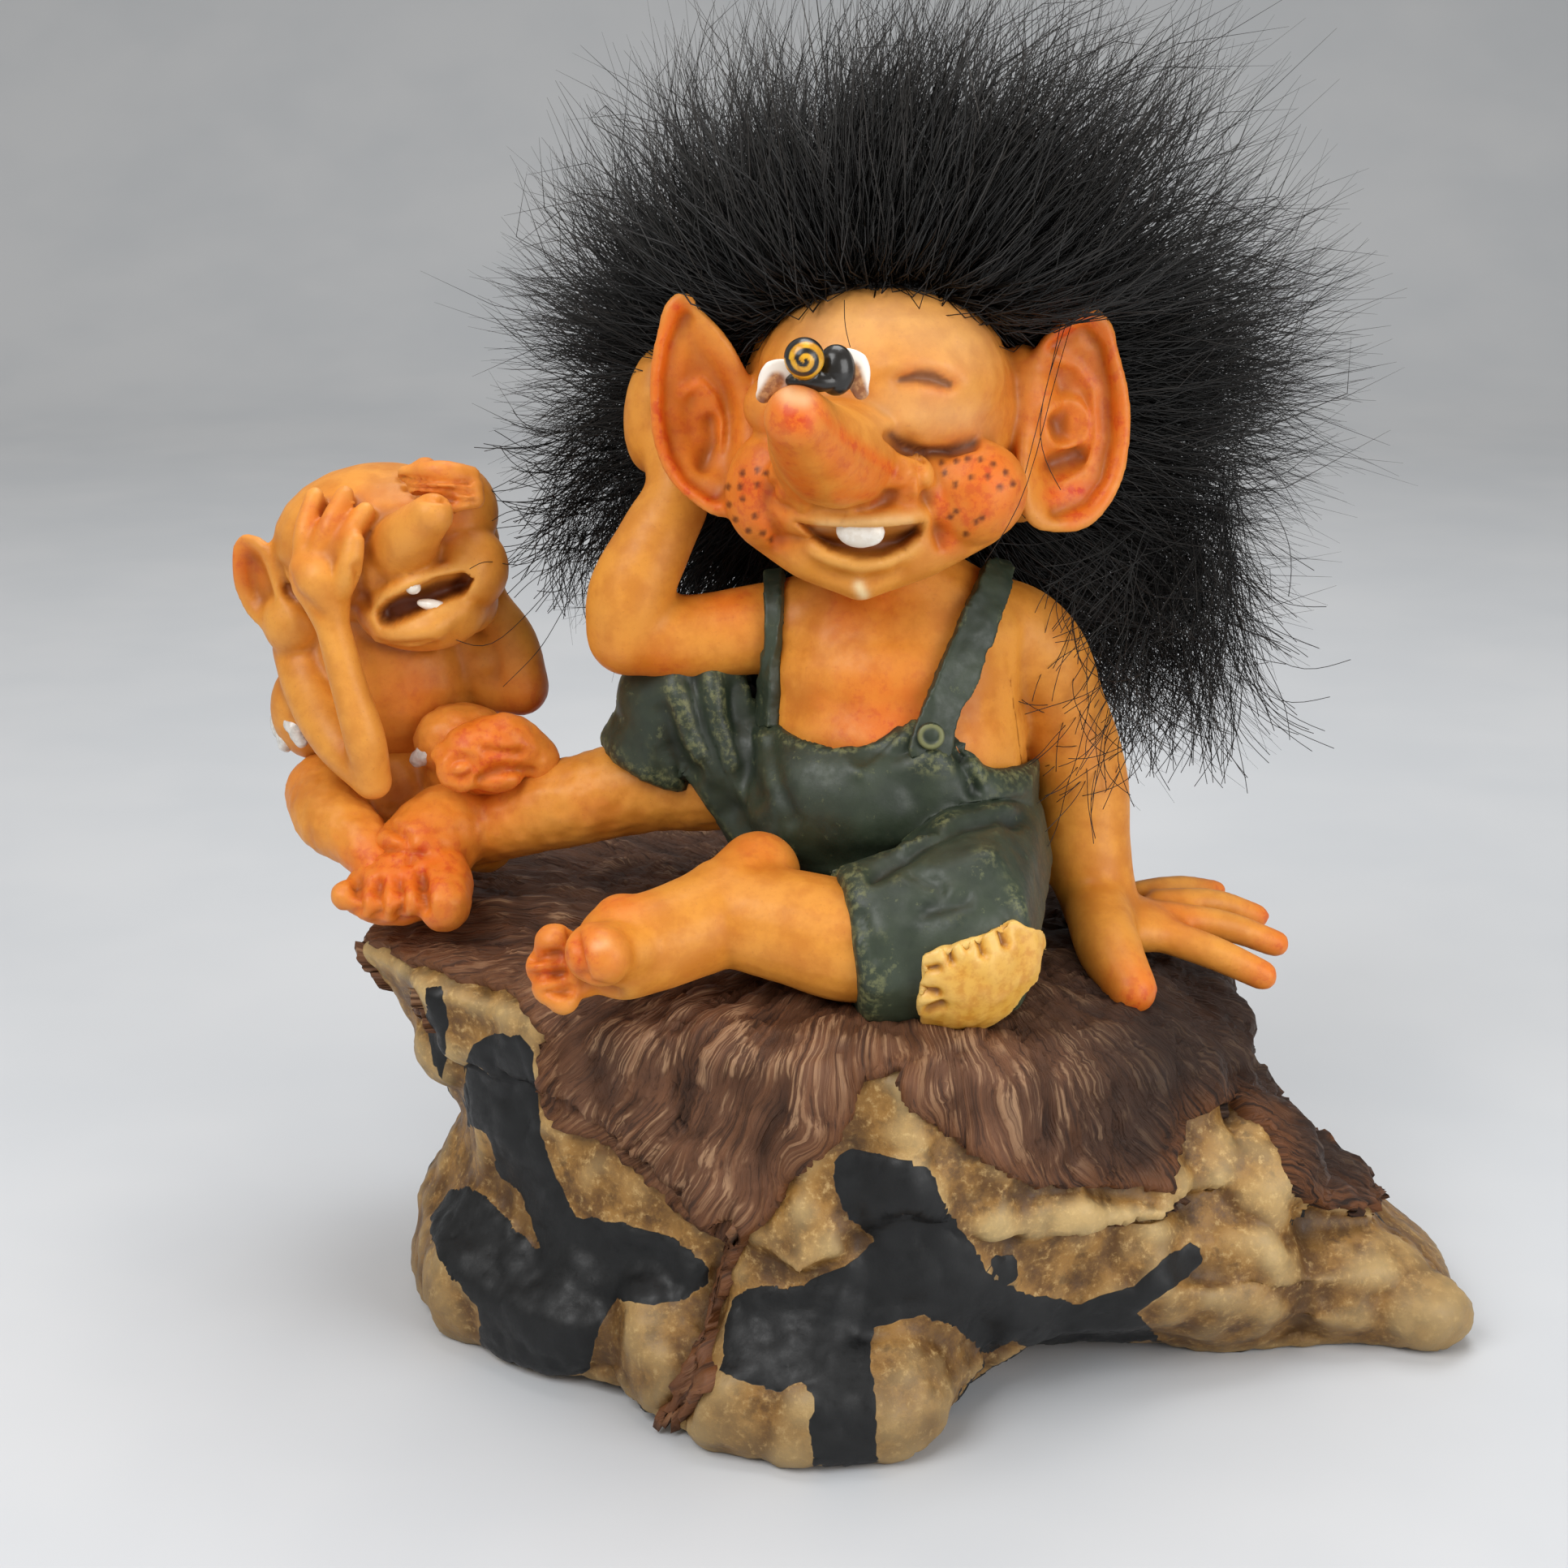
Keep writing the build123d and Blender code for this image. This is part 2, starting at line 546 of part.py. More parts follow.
# Dungarees with both trouser legs, a key under the seat and a socket in each cuff
with BuildPart() as dungarees:
    cloth = torso_sections(torso_section_shares[:4], cloth_thickness)
    bib_edge = cloth.pop()
    cloth.append([Vector(point.X, point.Y, seat_height + bib_height * share)
                  for point, share in zip(bib_edge, bib_level_shares)])
    add([
        faceted(cloth),
        limb((raised_hip, raised_knee, raised_cuff),
             (hip_radius, raised_knee_radius, raised_cuff_radius), thick_limb_sides, blunt=True),
        limb((folded_hip, folded_knee, folded_cuff),
             (hip_radius, folded_knee_radius, folded_cuff_radius), thick_limb_sides, blunt=True),
    ])
    with Locations((torso_place[0], torso_place[1], seat_height)):
        Box(seat_key_size, seat_key_size, seat_key_depth * 2)
    with Locations(raised_cuff, folded_cuff):
        Box(leg_key_size, leg_key_size, leg_key_size, mode=Mode.SUBTRACT)
    add(torso.part, mode=Mode.SUBTRACT)
    add(bark_cap.part, mode=Mode.SUBTRACT)
keep_largest(dungarees)

# Raised leg: shin, foot and toes
with BuildPart() as raised_leg:
    add([
        limb((raised_cuff, raised_shin, raised_ankle),
             (raised_calf_radius, raised_calf_radius, raised_ankle_radius)),
        limb((raised_heel, raised_ankle, raised_ball),
             (raised_heel_radius, raised_ankle_radius, raised_ball_radius), limb_sides,
             raised_foot_flat_share),
        *toes(raised_ball, raised_toe_shares, raised_ball_radius, raised_toe_heading_shares),
    ])
    add([dungarees.part, bark_cap.part], mode=Mode.SUBTRACT)
keep_largest(raised_leg)

# Folded leg: shin, foot and toes
with BuildPart() as folded_leg:
    add([
        limb((folded_cuff, folded_shin, folded_ankle),
             (folded_calf_radius, folded_calf_radius, folded_ankle_radius)),
        limb((folded_heel, folded_ankle, folded_ball),
             (folded_heel_radius, folded_ankle_radius, folded_ball_radius)),
        *toes(folded_ball, folded_toe_shares, folded_ball_radius, folded_toe_heading_shares),
    ])
    add([dungarees.part, bark_cap.part], mode=Mode.SUBTRACT)
keep_largest(folded_leg)

# Arm that props the troll up, with its hand spread on the bark
with BuildPart() as propping_arm:
    add([
        limb((propping_shoulder, propping_elbow, propping_wrist, propping_palm),
             (propping_shoulder_radius, propping_elbow_radius, propping_wrist_radius,
              propping_palm_radii[2])),
        lump(propping_palm, propping_palm_radii, palm_sides, palm_rows, (0, propping_palm_tilt, 0)),
        finger(propping_palm, propping_thumb_shares, thumb_length, thumb_radius),
        *[finger(propping_palm, shares, finger_length, finger_radius) for shares in propping_finger_shares],
    ])
    add([torso.part, dungarees.part, bark_cap.part], mode=Mode.SUBTRACT)
keep_largest(propping_arm)

# Head with its long nose, cheeks, jaw, ears and open mouth, and a socket for the neck key
with BuildPart() as head:
    add([
        lump(skull_centre, skull_radii, skull_sides, skull_rows),
        lump(left_cheek, cheek_radii, cheek_sides, cheek_rows),
        lump(right_cheek, cheek_radii, cheek_sides, cheek_rows),
        lump(jaw_centre, jaw_radii),
        lump(chin_place, (chin_radius, chin_radius, chin_radius), cheek_sides, cheek_rows),
        limb((nose_root, nose_bridge, nose_middle, nose_tip),
             (nose_root_radius, nose_bridge_radius, nose_middle_radius, nose_tip_radius),
             thick_limb_sides),
        ear(left_ear_root, left_ear_span, left_ear_rise, ear_thickness, ear_bowl_depth),
        ear(right_ear_root, right_ear_span, right_ear_rise, ear_thickness, ear_bowl_depth),
    ])
    add(lump(mouth_place, mouth_radii, cheek_sides, cheek_rows, (0, mouth_turn, 0)), mode=Mode.SUBTRACT)
    add(torso.part, mode=Mode.SUBTRACT)
keep_largest(head)

# Front tooth, hanging from the upper lip
with BuildPart() as front_tooth:
    with Locations(tooth_place):
        Box(*tooth_sizes)
    fillet(front_tooth.edges().filter_by(Axis.Y), tooth_fillet)
    add(head.part, mode=Mode.SUBTRACT)
keep_largest(front_tooth)

# Arm that rests on the raised knee, with its hand behind the ear
with BuildPart() as resting_arm:
    add([
        limb((resting_shoulder, resting_elbow), (resting_shoulder_radius, resting_elbow_radius)),
        limb((resting_elbow, resting_forearm, resting_wrist, resting_palm),
             (resting_elbow_radius, resting_forearm_radius, resting_wrist_radius, resting_wrist_radius)),
        lump(resting_palm, resting_palm_radii, palm_sides, palm_rows),
        *[finger(resting_palm, shares, finger_length, finger_radius) for shares in resting_finger_shares],
    ])
    add([torso.part, dungarees.part, head.part], mode=Mode.SUBTRACT)
keep_largest(resting_arm)


def brace_outline(run_shares):
    """Corners of one brace as it is seen from the front."""
    corners = []
    for side, up in run_shares:
        x = torso_place[0] + torso_half_width * side
        z = seat_height + torso_height * up
        corners.append(((x - brace_width / 2, z), (x + brace_width / 2, z)))
    return corners[0][0], corners[0][1], corners[1][1], corners[1][0]


# Braces over the shoulders, from the bib down to the back of the trousers
braces = {}
for side, run_shares in (("left", left_brace_shares), ("right", right_brace_shares)):
    with BuildPart() as brace:
        with BuildSketch(Plane.XZ):
            with BuildLine():
                Polyline(*brace_outline(run_shares), close=True)
            make_face()
        extrude(amount=torso_half_depth * 2, both=True)
        add(faceted(torso_sections(torso_section_shares, brace_thickness)), mode=Mode.INTERSECT)
        add([torso.part, dungarees.part, head.part, resting_arm.part, propping_arm.part], mode=Mode.SUBTRACT)
    keep_largest(brace)
    braces[side] = brace

# Button of the right brace, dished on its face
with BuildPart() as brace_button:
    button_plane = Plane(origin=button_place, z_dir=(0, -1, button_lean_share))
    with BuildSketch(button_plane):
        Circle(button_radius)
    extrude(amount=button_thickness, both=True)
    with BuildSketch(button_plane.offset(button_thickness)):
        Circle(button_dish_radius)
    extrude(amount=-button_dish_depth, mode=Mode.SUBTRACT)
    add([braces["right"].part, dungarees.part], mode=Mode.SUBTRACT)
keep_largest(brace_button)

# Patch sewn on the folded knee
with BuildPart() as knee_patch:
    with BuildSketch(Plane(origin=patch_place, x_dir=(1, 0, 0), z_dir=(0, -1, 0))):
        Rectangle(*patch_sizes, rotation=patch_tilt)
    extrude(amount=folded_knee_radius, both=True)
    add(limb((folded_hip, folded_knee, folded_cuff), (hip_radius + patch_thickness,
             folded_knee_radius + patch_thickness, folded_cuff_radius + patch_thickness),
             thick_limb_sides), mode=Mode.INTERSECT)
    add([dungarees.part, bark_cap.part, folded_leg.part], mode=Mode.SUBTRACT)
keep_largest(knee_patch)

# Hide backing of the wig, over the skull behind the hairline
with BuildPart() as wig_hide:
    add(lump(skull_centre, tuple(radius + hide_thickness for radius in skull_radii), skull_sides, skull_rows))
    split(bisect_by=Plane(origin=hide_edge_place, z_dir=hide_edge_heading_shares), keep=Keep.TOP)
    add([head.part, torso.part, resting_arm.part], mode=Mode.SUBTRACT)
keep_largest(wig_hide)

# Fur, as the closed outer shape of all its strands
with BuildPart() as fur:
    fur_rings = []
    for depth_share, outline_share in hair_band_shares:
        ring = []
        for k, share in enumerate(hair_outline_shares):
            turn = 2 * pi * k / len(hair_outline_shares)
            across = hair_reach * share * outline_share * cos(turn)
            up = hair_reach * share * outline_share * sin(turn)
            back = hair_depth * depth_share - hair_lean_share * max(up, 0)
            ring.append(Vector(hair_centre[0] + across, hair_centre[1] + back, hair_centre[2] + up))
        fur_rings.append(ring)
    add(faceted(fur_rings))
    add([head.part, wig_hide.part, torso.part, dungarees.part, resting_arm.part, propping_arm.part,
         braces["left"].part, braces["right"].part, bark_cap.part], mode=Mode.SUBTRACT)
keep_largest(fur)

# Bee's body, seen from behind on the nose tip, with a waist between its two swellings
bee_plane = Plane(origin=bee_place, x_dir=(1, 0, 0), z_dir=(0, bee_dip_share, 1))
with BuildPart() as bee_body:
    add(limb([bee_plane.origin + bee_plane.y_dir * (bee_length * share) for share in bee_ring_shares],
             (bee_radius, bee_waist_radius, bee_chest_radius)))
    add(head.part, mode=Mode.SUBTRACT)
keep_largest(bee_body)

# Bee's wings, drooping to either side
bee_wings = {}
for side, sign in (("left", -1), ("right", 1)):
    with BuildPart() as wing:
        wing_plane = Plane(origin=bee_place, x_dir=(sign, 0, -bee_wing_droop_share),
                           z_dir=(sign * bee_wing_droop_share, 0, 1))
        with BuildSketch(wing_plane.offset(bee_radius * bee_wing_level_share)):
            with Locations((bee_wing_length / 2, 0)):
                Ellipse(bee_wing_length / 2, bee_wing_width / 2)
        extrude(amount=bee_wing_thickness)
        add([bee_body.part, head.part], mode=Mode.SUBTRACT)
    keep_largest(wing)
    bee_wings[side] = wing

# Little troll's hips, legs and feet
with BuildPart() as little_legs:
    add(lump(little_hip, little_hip_radii))
    for knee, ankle, ball in ((left_little_knee, left_little_ankle, left_little_ball),
                              (right_little_knee, right_little_ankle, right_little_ball)):
        add([
            limb((little_hip, knee, ankle, ball),
                 (little_calf_radius, little_calf_radius, little_calf_radius, little_ball_radius)),
            *[toe(ball, shares, little_ball_radius, little_toe_heading_shares, little_toe_length,
                  little_toe_radius) for shares in little_toe_shares],
        ])
    split(bisect_by=Plane.XY.offset(little_waist_height), keep=Keep.BOTTOM)
    with Locations((little_hip[0], little_hip[1], little_waist_height)):
        Box(little_waist_key_size, little_waist_key_size, little_waist_key_height * 2)
    add([bark_cap.part, raised_leg.part, rock_base.part], mode=Mode.SUBTRACT)
keep_largest(little_legs)

# Little troll's body, head and arms
with BuildPart() as little_body:
    add(lump(little_chest, little_chest_radii))
    split(bisect_by=Plane.XY.offset(little_waist_height), keep=Keep.TOP)
    add([
        lump(little_skull, little_skull_radii),
        lump(little_jaw, little_jaw_radii, cheek_sides, cheek_rows),
        limb((little_nose_root, little_nose_middle, little_nose_tip),
             (little_nose_root_radius, little_nose_middle_radius, little_nose_tip_radius)),
        ear(little_ear_root, little_ear_span, little_ear_rise, little_ear_thickness, little_ear_bowl_depth),
    ])
    add(lump(little_mouth_place, little_mouth_radii, cheek_sides, cheek_rows, (0, little_mouth_turn, 0)),
        mode=Mode.SUBTRACT)
    for shoulder, elbow, wrist, palm, spread in (
            (left_little_shoulder, left_little_elbow, left_little_wrist, left_little_palm,
             left_little_finger_shares),
            (right_little_shoulder, right_little_elbow, right_little_wrist, right_little_palm,
             right_little_finger_shares)):
        add([
            limb((shoulder, elbow), (little_arm_radius, little_arm_radius)),
            limb((elbow, wrist, palm), (little_arm_radius, little_arm_radius, little_arm_radius)),
            lump(palm, little_palm_radii, palm_sides, palm_rows),
            *[finger(palm, shares, little_finger_length, little_finger_radius) for shares in spread],
        ])
    add([little_legs.part, raised_leg.part], mode=Mode.SUBTRACT)
keep_largest(little_body)

# Little troll's tooth
with BuildPart() as little_tooth:
    with Locations(little_tooth_place):
        Box(*little_tooth_sizes)
    fillet(little_tooth.edges().filter_by(Axis.Y), little_tooth_fillet)
    add(little_body.part, mode=Mode.SUBTRACT)
keep_largest(little_tooth)

pieces = {"rock_base": rock_base, "bark_cap": bark_cap, "torso": torso, "dungarees": dungarees,
          "left_brace": braces["left"], "right_brace": braces["right"], "brace_button": brace_button,
          "knee_patch": knee_patch, "raised_leg": raised_leg, "folded_leg": folded_leg,
          "propping_arm": propping_arm, "resting_arm": resting_arm, "head": head,
          "front_tooth": front_tooth, "wig_hide": wig_hide, "fur": fur, "bee_body": bee_body,
          "bee_wing_left": bee_wings["left"], "bee_wing_right": bee_wings["right"],
          "little_legs": little_legs, "little_body": little_body, "little_tooth": little_tooth}
for name, piece in pieces.items():
    piece.part.label = name
    export_step(piece.part, f"parts/{name}.step")
    print(name, len(piece.part.solids()), "solid", round(piece.part.volume), "cubic mm", piece.part.is_valid)
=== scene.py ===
# %% [markdown]
# # A folk troll with wild fur hair
# This lesson dresses a CAD model of a painted, cast figure: a troll boy and a bald little troll on a rock
# with a bark top. The CAD frame gives the places. Here every casting gets its soft, sculpted skin,
# then its paint, and last the wig of long black fur.

# %% Frame and tools
import bpy
import numpy as np
from math import cos, pi, radians, sin
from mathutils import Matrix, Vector, noise
from mathutils.bvhtree import BVHTree
from mathutils.kdtree import KDTree


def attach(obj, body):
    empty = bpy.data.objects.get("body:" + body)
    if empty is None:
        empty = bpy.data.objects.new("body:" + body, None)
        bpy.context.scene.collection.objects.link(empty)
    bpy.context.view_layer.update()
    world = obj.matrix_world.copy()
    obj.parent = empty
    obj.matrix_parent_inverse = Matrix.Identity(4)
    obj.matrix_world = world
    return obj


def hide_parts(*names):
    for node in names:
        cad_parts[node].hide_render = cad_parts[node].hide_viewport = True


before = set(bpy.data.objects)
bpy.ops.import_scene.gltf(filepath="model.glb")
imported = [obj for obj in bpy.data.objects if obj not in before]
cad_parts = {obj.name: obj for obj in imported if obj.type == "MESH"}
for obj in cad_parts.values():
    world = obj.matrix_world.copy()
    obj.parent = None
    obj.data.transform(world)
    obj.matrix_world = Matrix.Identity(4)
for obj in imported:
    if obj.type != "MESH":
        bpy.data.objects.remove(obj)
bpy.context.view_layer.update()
MM = 0.001
print("CAD nodes", len(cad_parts))

# %% [markdown]
# ## The camera
# A figure this small is photographed from close by, a little from above, with a short telephoto lens.
# The camera comes first, because many details below are placed where that camera sees them: a pixel of
# the picture and a depth give a place in millimetres, and the other way round.

# %% Camera, and places seen through it
camera_place = np.array([-7.0, -266.5, 133.5])
camera_dip = radians(17.0)
half_view = 0.2773
half_photo = 966.0

bpy.ops.object.select_all(action="DESELECT")
bpy.ops.object.camera_add(location=camera_place * MM, rotation=(pi / 2 - camera_dip, 0, 0))
camera = bpy.context.object
camera.data.sensor_width = 36
camera.data.lens = 18 / half_view
camera.data.clip_start = 0.01
bpy.context.scene.camera = camera


def at(u, v, y):
    """The place in mm that pixel (u, v) of the photograph shows at depth y."""
    right, up = (u - half_photo) / half_photo * half_view, (half_photo - v) / half_photo * half_view
    heading = np.array([right, cos(camera_dip) + up * sin(camera_dip),
                        up * cos(camera_dip) - sin(camera_dip)])
    return tuple(camera_place + heading * (y - camera_place[1]) / heading[1])


def sight(points):
    """Pixels of the photograph at which points in mm are seen, and the mm that one pixel spans there."""
    away = points - camera_place
    depth = away[:, 1] * cos(camera_dip) - away[:, 2] * sin(camera_dip)
    height = away[:, 1] * sin(camera_dip) + away[:, 2] * cos(camera_dip)
    pixel = depth * half_view / half_photo
    return np.stack([half_photo + away[:, 0] / pixel, half_photo - height / pixel], axis=1), pixel


print("nose tip", [round(v, 1) for v in at(975, 490, -30)])

# %% [markdown]
# ## Melting simple forms into one casting
# A clay model is built from balls and rolls that are pressed together and smoothed. The same works here:
# balls and tapered tubes are joined, remeshed with small cubes into one skin, and smoothed, so that
# every joint gets the soft fillet of clay. A form that the CAD model has already is copied from it.

# %% Balls, tubes and casting
def pick(*pieces):
    """Select these pieces and nothing else, the first as the active one."""
    bpy.ops.object.select_all(action="DESELECT")
    for piece in pieces:
        piece.select_set(True)
    bpy.context.view_layer.objects.active = pieces[0]

def new_piece(name, mesh):
    """A piece made of a mesh, linked to the scene."""
    mesh.name = name
    piece = bpy.data.objects.new(name, mesh)
    bpy.context.scene.collection.objects.link(piece)
    return piece


def ball(place, radii, turn=(0, 0, 0)):
    """An egg at a place in mm, turned by degrees."""
    bpy.ops.mesh.primitive_uv_sphere_add(segments=24, ring_count=12, radius=1, location=Vector(place) * MM,
                                         rotation=[radians(angle) for angle in turn],
                                         scale=Vector(radii) * MM)
    return [bpy.context.object]


def tube(path, sizes):
    """A rounded roll of clay through places in mm, with its own radius at each."""
    bpy.ops.curve.primitive_bezier_curve_add(location=(0, 0, 0))
    roll = bpy.context.object
    points = roll.data.splines[0].bezier_points
    points.add(len(path) - 2)
    for point, place, size in zip(points, path, sizes):
        point.handle_left_type = point.handle_right_type = "AUTO"
        point.co = Vector(place) * MM
        point.radius = size
    roll.data.bevel_depth = MM
    roll.data.bevel_resolution = 8
    roll.data.resolution_u = 8
    roll.data.use_fill_caps = True
    bpy.ops.object.convert(target="MESH")
    roll = bpy.context.object
    return [roll] + ball(path[0], [sizes[0]] * 3) + ball(path[-1], [sizes[-1]] * 3)


def copied(*names):
    """Merged copies of CAD nodes, to start from."""
    copies = []
    for name in names:
        piece = new_piece(name + "_start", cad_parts[name].data.copy())
        pick(piece)
        bpy.ops.object.mode_set(mode="EDIT")
        bpy.ops.mesh.select_all(action="SELECT")
        bpy.ops.mesh.remove_doubles(threshold=0.00001)
        bpy.ops.object.mode_set(mode="OBJECT")
        copies.append(piece)
    return copies


def apply(piece, kind, **settings):
    """Add a modifier with its settings, and apply it."""
    pick(piece)
    modifier = piece.modifiers.new(kind.title(), kind)
    for name, value in settings.items():
        setattr(modifier, name, value)
    bpy.ops.object.modifier_apply(modifier=modifier.name)


def cast(name, parts, cube, rounds):
    """Join parts, remesh them with cubes of a size in mm, and smooth the skin for some rounds."""
    pick(*parts)
    bpy.ops.object.join()
    piece = bpy.context.object
    piece.name = piece.data.name = name
    bpy.ops.object.transform_apply(location=True, rotation=True, scale=True)
    piece.data.materials.clear()
    apply(piece, "REMESH", mode="VOXEL", voxel_size=cube * MM)
    apply(piece, "SMOOTH", factor=0.5, iterations=rounds)
    bpy.ops.object.shade_smooth()
    return piece


# %% [markdown]
# ## Sculpting brushes
# Folds, wrinkles and cracks are drawn on a casting as lines in the photograph's pixels. A brush moves
# the skin that faces the camera and lies near the line, along the skin's own normals. It is what a
# sculptor's loop tool does, and it stays where it is put from every side.

# %% Brushes
def points_of(piece):
    """The piece's points in mm."""
    values = np.empty(len(piece.data.vertices) * 3, dtype=np.float32)
    piece.data.vertices.foreach_get("co", values)
    return values.reshape(-1, 3).astype(np.float64) / MM


def normals_of(piece):
    """Normals at the piece's points."""
    values = np.empty(len(piece.data.vertices) * 3, dtype=np.float32)
    piece.data.vertices.foreach_get("normal", values)
    return values.reshape(-1, 3).astype(np.float64)


def move_to(piece, points):
    """Put the piece's points at new places in mm."""
    piece.data.vertices.foreach_set("co", (points * MM).astype(np.float32).ravel())
    piece.data.update()


def facing(points, normals):
    """How far the skin faces the camera, from 0 to 1."""
    view = camera_place - points
    view /= np.linalg.norm(view, axis=1)[:, None]
    return np.clip((view * normals).sum(axis=1) * 4, 0, 1)


def read(piece):
    """The piece's points and normals, the pixels that show them, and the mm that a pixel spans there."""
    points = points_of(piece)
    return (points, normals_of(piece), *sight(points))

def near_path(spots, path):
    """Distance from spots to an open path, in the path's own units."""
    best = np.full(len(spots), 1e9)
    for start, end in zip(np.array(path, dtype=float), np.array(path, dtype=float)[1:]):
        run = end - start
        share = np.clip(((spots - start) @ run) / (run @ run), 0, 1)
        best = np.minimum(best, np.linalg.norm(spots - start - share[:, None] * run, axis=1))
    return best


def inside(spots, outline):
    """Distance inside a closed outline, negative outside it."""
    outline = [tuple(corner) for corner in outline]
    gap = near_path(spots, outline + [outline[0]])
    crossings = np.zeros(len(spots), dtype=bool)
    for (x0, y0), (x1, y1) in zip(outline, outline[1:] + [outline[0]]):
        if y0 != y1:
            level = (spots[:, 1] > min(y0, y1)) & (spots[:, 1] <= max(y0, y1))
            crossings ^= level & (spots[:, 0] < x0 + (spots[:, 1] - y0) * (x1 - x0) / (y1 - y0))
    return np.where(crossings, gap, -gap)


def step(values, soft):
    """0 below zero, 1 above it, with a smooth change over the width soft."""
    share = np.clip(values / soft / 2 + 0.5, 0, 1)
    return share * share * (3 - 2 * share)


def draw(piece, lines, width, lift, reach=None):
    """Raise or sink the skin along lines of pixels: width and lift in mm, reach as the nearest and
    farthest y that the brush touches."""
    points, normals, spots, pixel = read(piece)
    amount = np.zeros(len(points))
    for line in lines:
        amount = np.maximum(amount, np.exp(-(near_path(spots, line) * pixel / width) ** 2))
    amount *= facing(points, normals)
    if reach:
        amount *= (points[:, 1] > reach[0]) & (points[:, 1] < reach[1])
    move_to(piece, points + normals * (amount * lift)[:, None])


def press(piece, outline, soft, push, reach=None):
    """Push the skin inside an outline of pixels by a vector in mm."""
    points, normals, spots, pixel = read(piece)
    amount = step(inside(spots, outline) * pixel, soft) * facing(points, normals)
    if reach:
        amount *= (points[:, 1] > reach[0]) & (points[:, 1] < reach[1])
    move_to(piece, points + amount[:, None] * np.array(push))


def on_skin(piece, u, v):
    """The place in mm on a piece that pixel (u, v) shows."""
    points = points_of(piece)
    spots, pixel = sight(points)
    near = np.hypot(spots[:, 0] - u, spots[:, 1] - v) < 8
    return at(u, v, points[near, 1].min())



def lumps(points, size, seed=0.0, detail=2):
    """Soft noise between about -1 and 1, with lumps of a size in mm."""
    return np.array([noise.fractal(Vector(point) / size + Vector((seed, seed * 2, -seed)), 1.0, 2.0, detail)
                     for point in points])


def frayed(spots, points, width, size, seed):
    """Pixels pushed about by noise, so that an outline tested on them gets a ragged edge."""
    return spots + width * np.stack([lumps(points, size, seed), lumps(points, size, seed + 4)], axis=1)

def roughen(piece, size, lift, seed=0.0):
    """Give the skin an uneven, hand-made surface."""
    points, normals = points_of(piece), normals_of(piece)
    move_to(piece, points + normals * (lumps(points, size, seed) * lift)[:, None])


# %% [markdown]
# ## Paint masks
# The real castings are dry-brushed, which catches the ridges, and their hollows are painted darker as
# painted shade. Both follow the relief, so it is measured: how far each point stands over the average of
# its neighbourhood. Masks are kept on the mesh as attributes, for the materials to read.

# %% Masks
def keep(piece, name, values):
    """Keep a mask on the piece's points."""
    layer = piece.data.attributes.new(name, "FLOAT", "POINT")
    layer.data.foreach_set("value", np.asarray(values, dtype=np.float32))


def neighbours_mean(values, ends, count):
    """The mean of each point's neighbours, one column at a time."""
    links = np.maximum(np.bincount(ends.ravel(), minlength=count), 1)
    mean = np.empty_like(values)
    for column in range(values.shape[1]):
        total = np.bincount(ends[:, 0], values[ends[:, 1], column], count)
        total += np.bincount(ends[:, 1], values[ends[:, 0], column], count)
        mean[:, column] = total / links
    return mean


def measure_relief(piece, rounds, height):
    """Keep two masks, hollow and ridge, of what lies under and over its surroundings by a height in mm."""
    points, normals = points_of(piece), normals_of(piece)
    ends = np.empty(len(piece.data.edges) * 2, dtype=np.int32)
    piece.data.edges.foreach_get("vertices", ends)
    ends = ends.reshape(-1, 2)
    soft = points
    for _ in range(rounds):
        soft = neighbours_mean(soft, ends, len(points))
    relief = ((points - soft) * normals).sum(axis=1)[:, None]
    for _ in range(2):
        relief = neighbours_mean(relief, ends, len(points))
    keep(piece, "hollow", np.clip(-relief[:, 0] / height, 0, 1))
    keep(piece, "ridge", np.clip(relief[:, 0] / height, 0, 1))


def keep_spots(piece, name, spots, strokes=()):
    """Keep a mask of soft spots, each with a place, a radius in mm and a strength, and of brush strokes,
    each with a line of pixels, a width in mm and a strength, on the skin that faces the camera."""
    points, normals, pixels, pixel = read(piece)
    amount = np.zeros(len(points))
    for place, size, strength in spots:
        gap = np.linalg.norm(points - np.array(place), axis=1)
        amount = np.maximum(amount, strength * np.exp(-(gap / size) ** 2))
    seen = facing(points, normals)
    for line, width, strength in strokes:
        gap = near_path(pixels, line) * pixel
        amount = np.maximum(amount, seen * strength * np.exp(-(gap / width) ** 2))
    keep(piece, name, amount)


# %% [markdown]
# ## The paints
# Everything but the hair is cast resin under acrylic paint and a satin varnish. Acrylic on resin has an
# IOR near 1.5 and no metal in it. What makes it look painted by hand is the uneven wash, paler on the
# ridges, with brush marks of half a millimetre. The hollows are painted darker: painted shade.

# %% Material kit
def linear(code):
    """An sRGB hex colour as a linear RGBA colour."""
    parts = [int(code[place:place + 2], 16) / 255 for place in (1, 3, 5)]
    return [p / 12.92 if p <= 0.04045 else ((p + 0.055) / 1.055) ** 2.4 for p in parts] + [1.0]


def add(tree, kind, settings=None, **links):
    """Add a node with its settings, and link its inputs by their names."""
    made = tree.nodes.new("ShaderNode" + kind)
    for name, value in (settings or {}).items():
        if name in made.inputs:
            made.inputs[name].default_value = value
        else:
            setattr(made, name, value)
    for name, source in links.items():
        tree.links.new(source, made.inputs[name])
    return made


def paint(name, roughness, **settings):
    """A new material with its shader, and the coordinates that its patterns read, in metres."""
    made = bpy.data.materials.new(name)
    made.use_nodes = True
    tree = made.node_tree
    shader = tree.nodes["Principled BSDF"]
    shader.inputs["Roughness"].default_value = roughness
    for socket, value in settings.items():
        shader.inputs[socket.replace("_", " ")].default_value = value
    return made, tree, shader, add(tree, "TexCoord").outputs["Object"]


def mask(tree, name):
    """A mask kept on the mesh."""
    return add(tree, "Attribute", {"attribute_name": name}).outputs["Fac"]


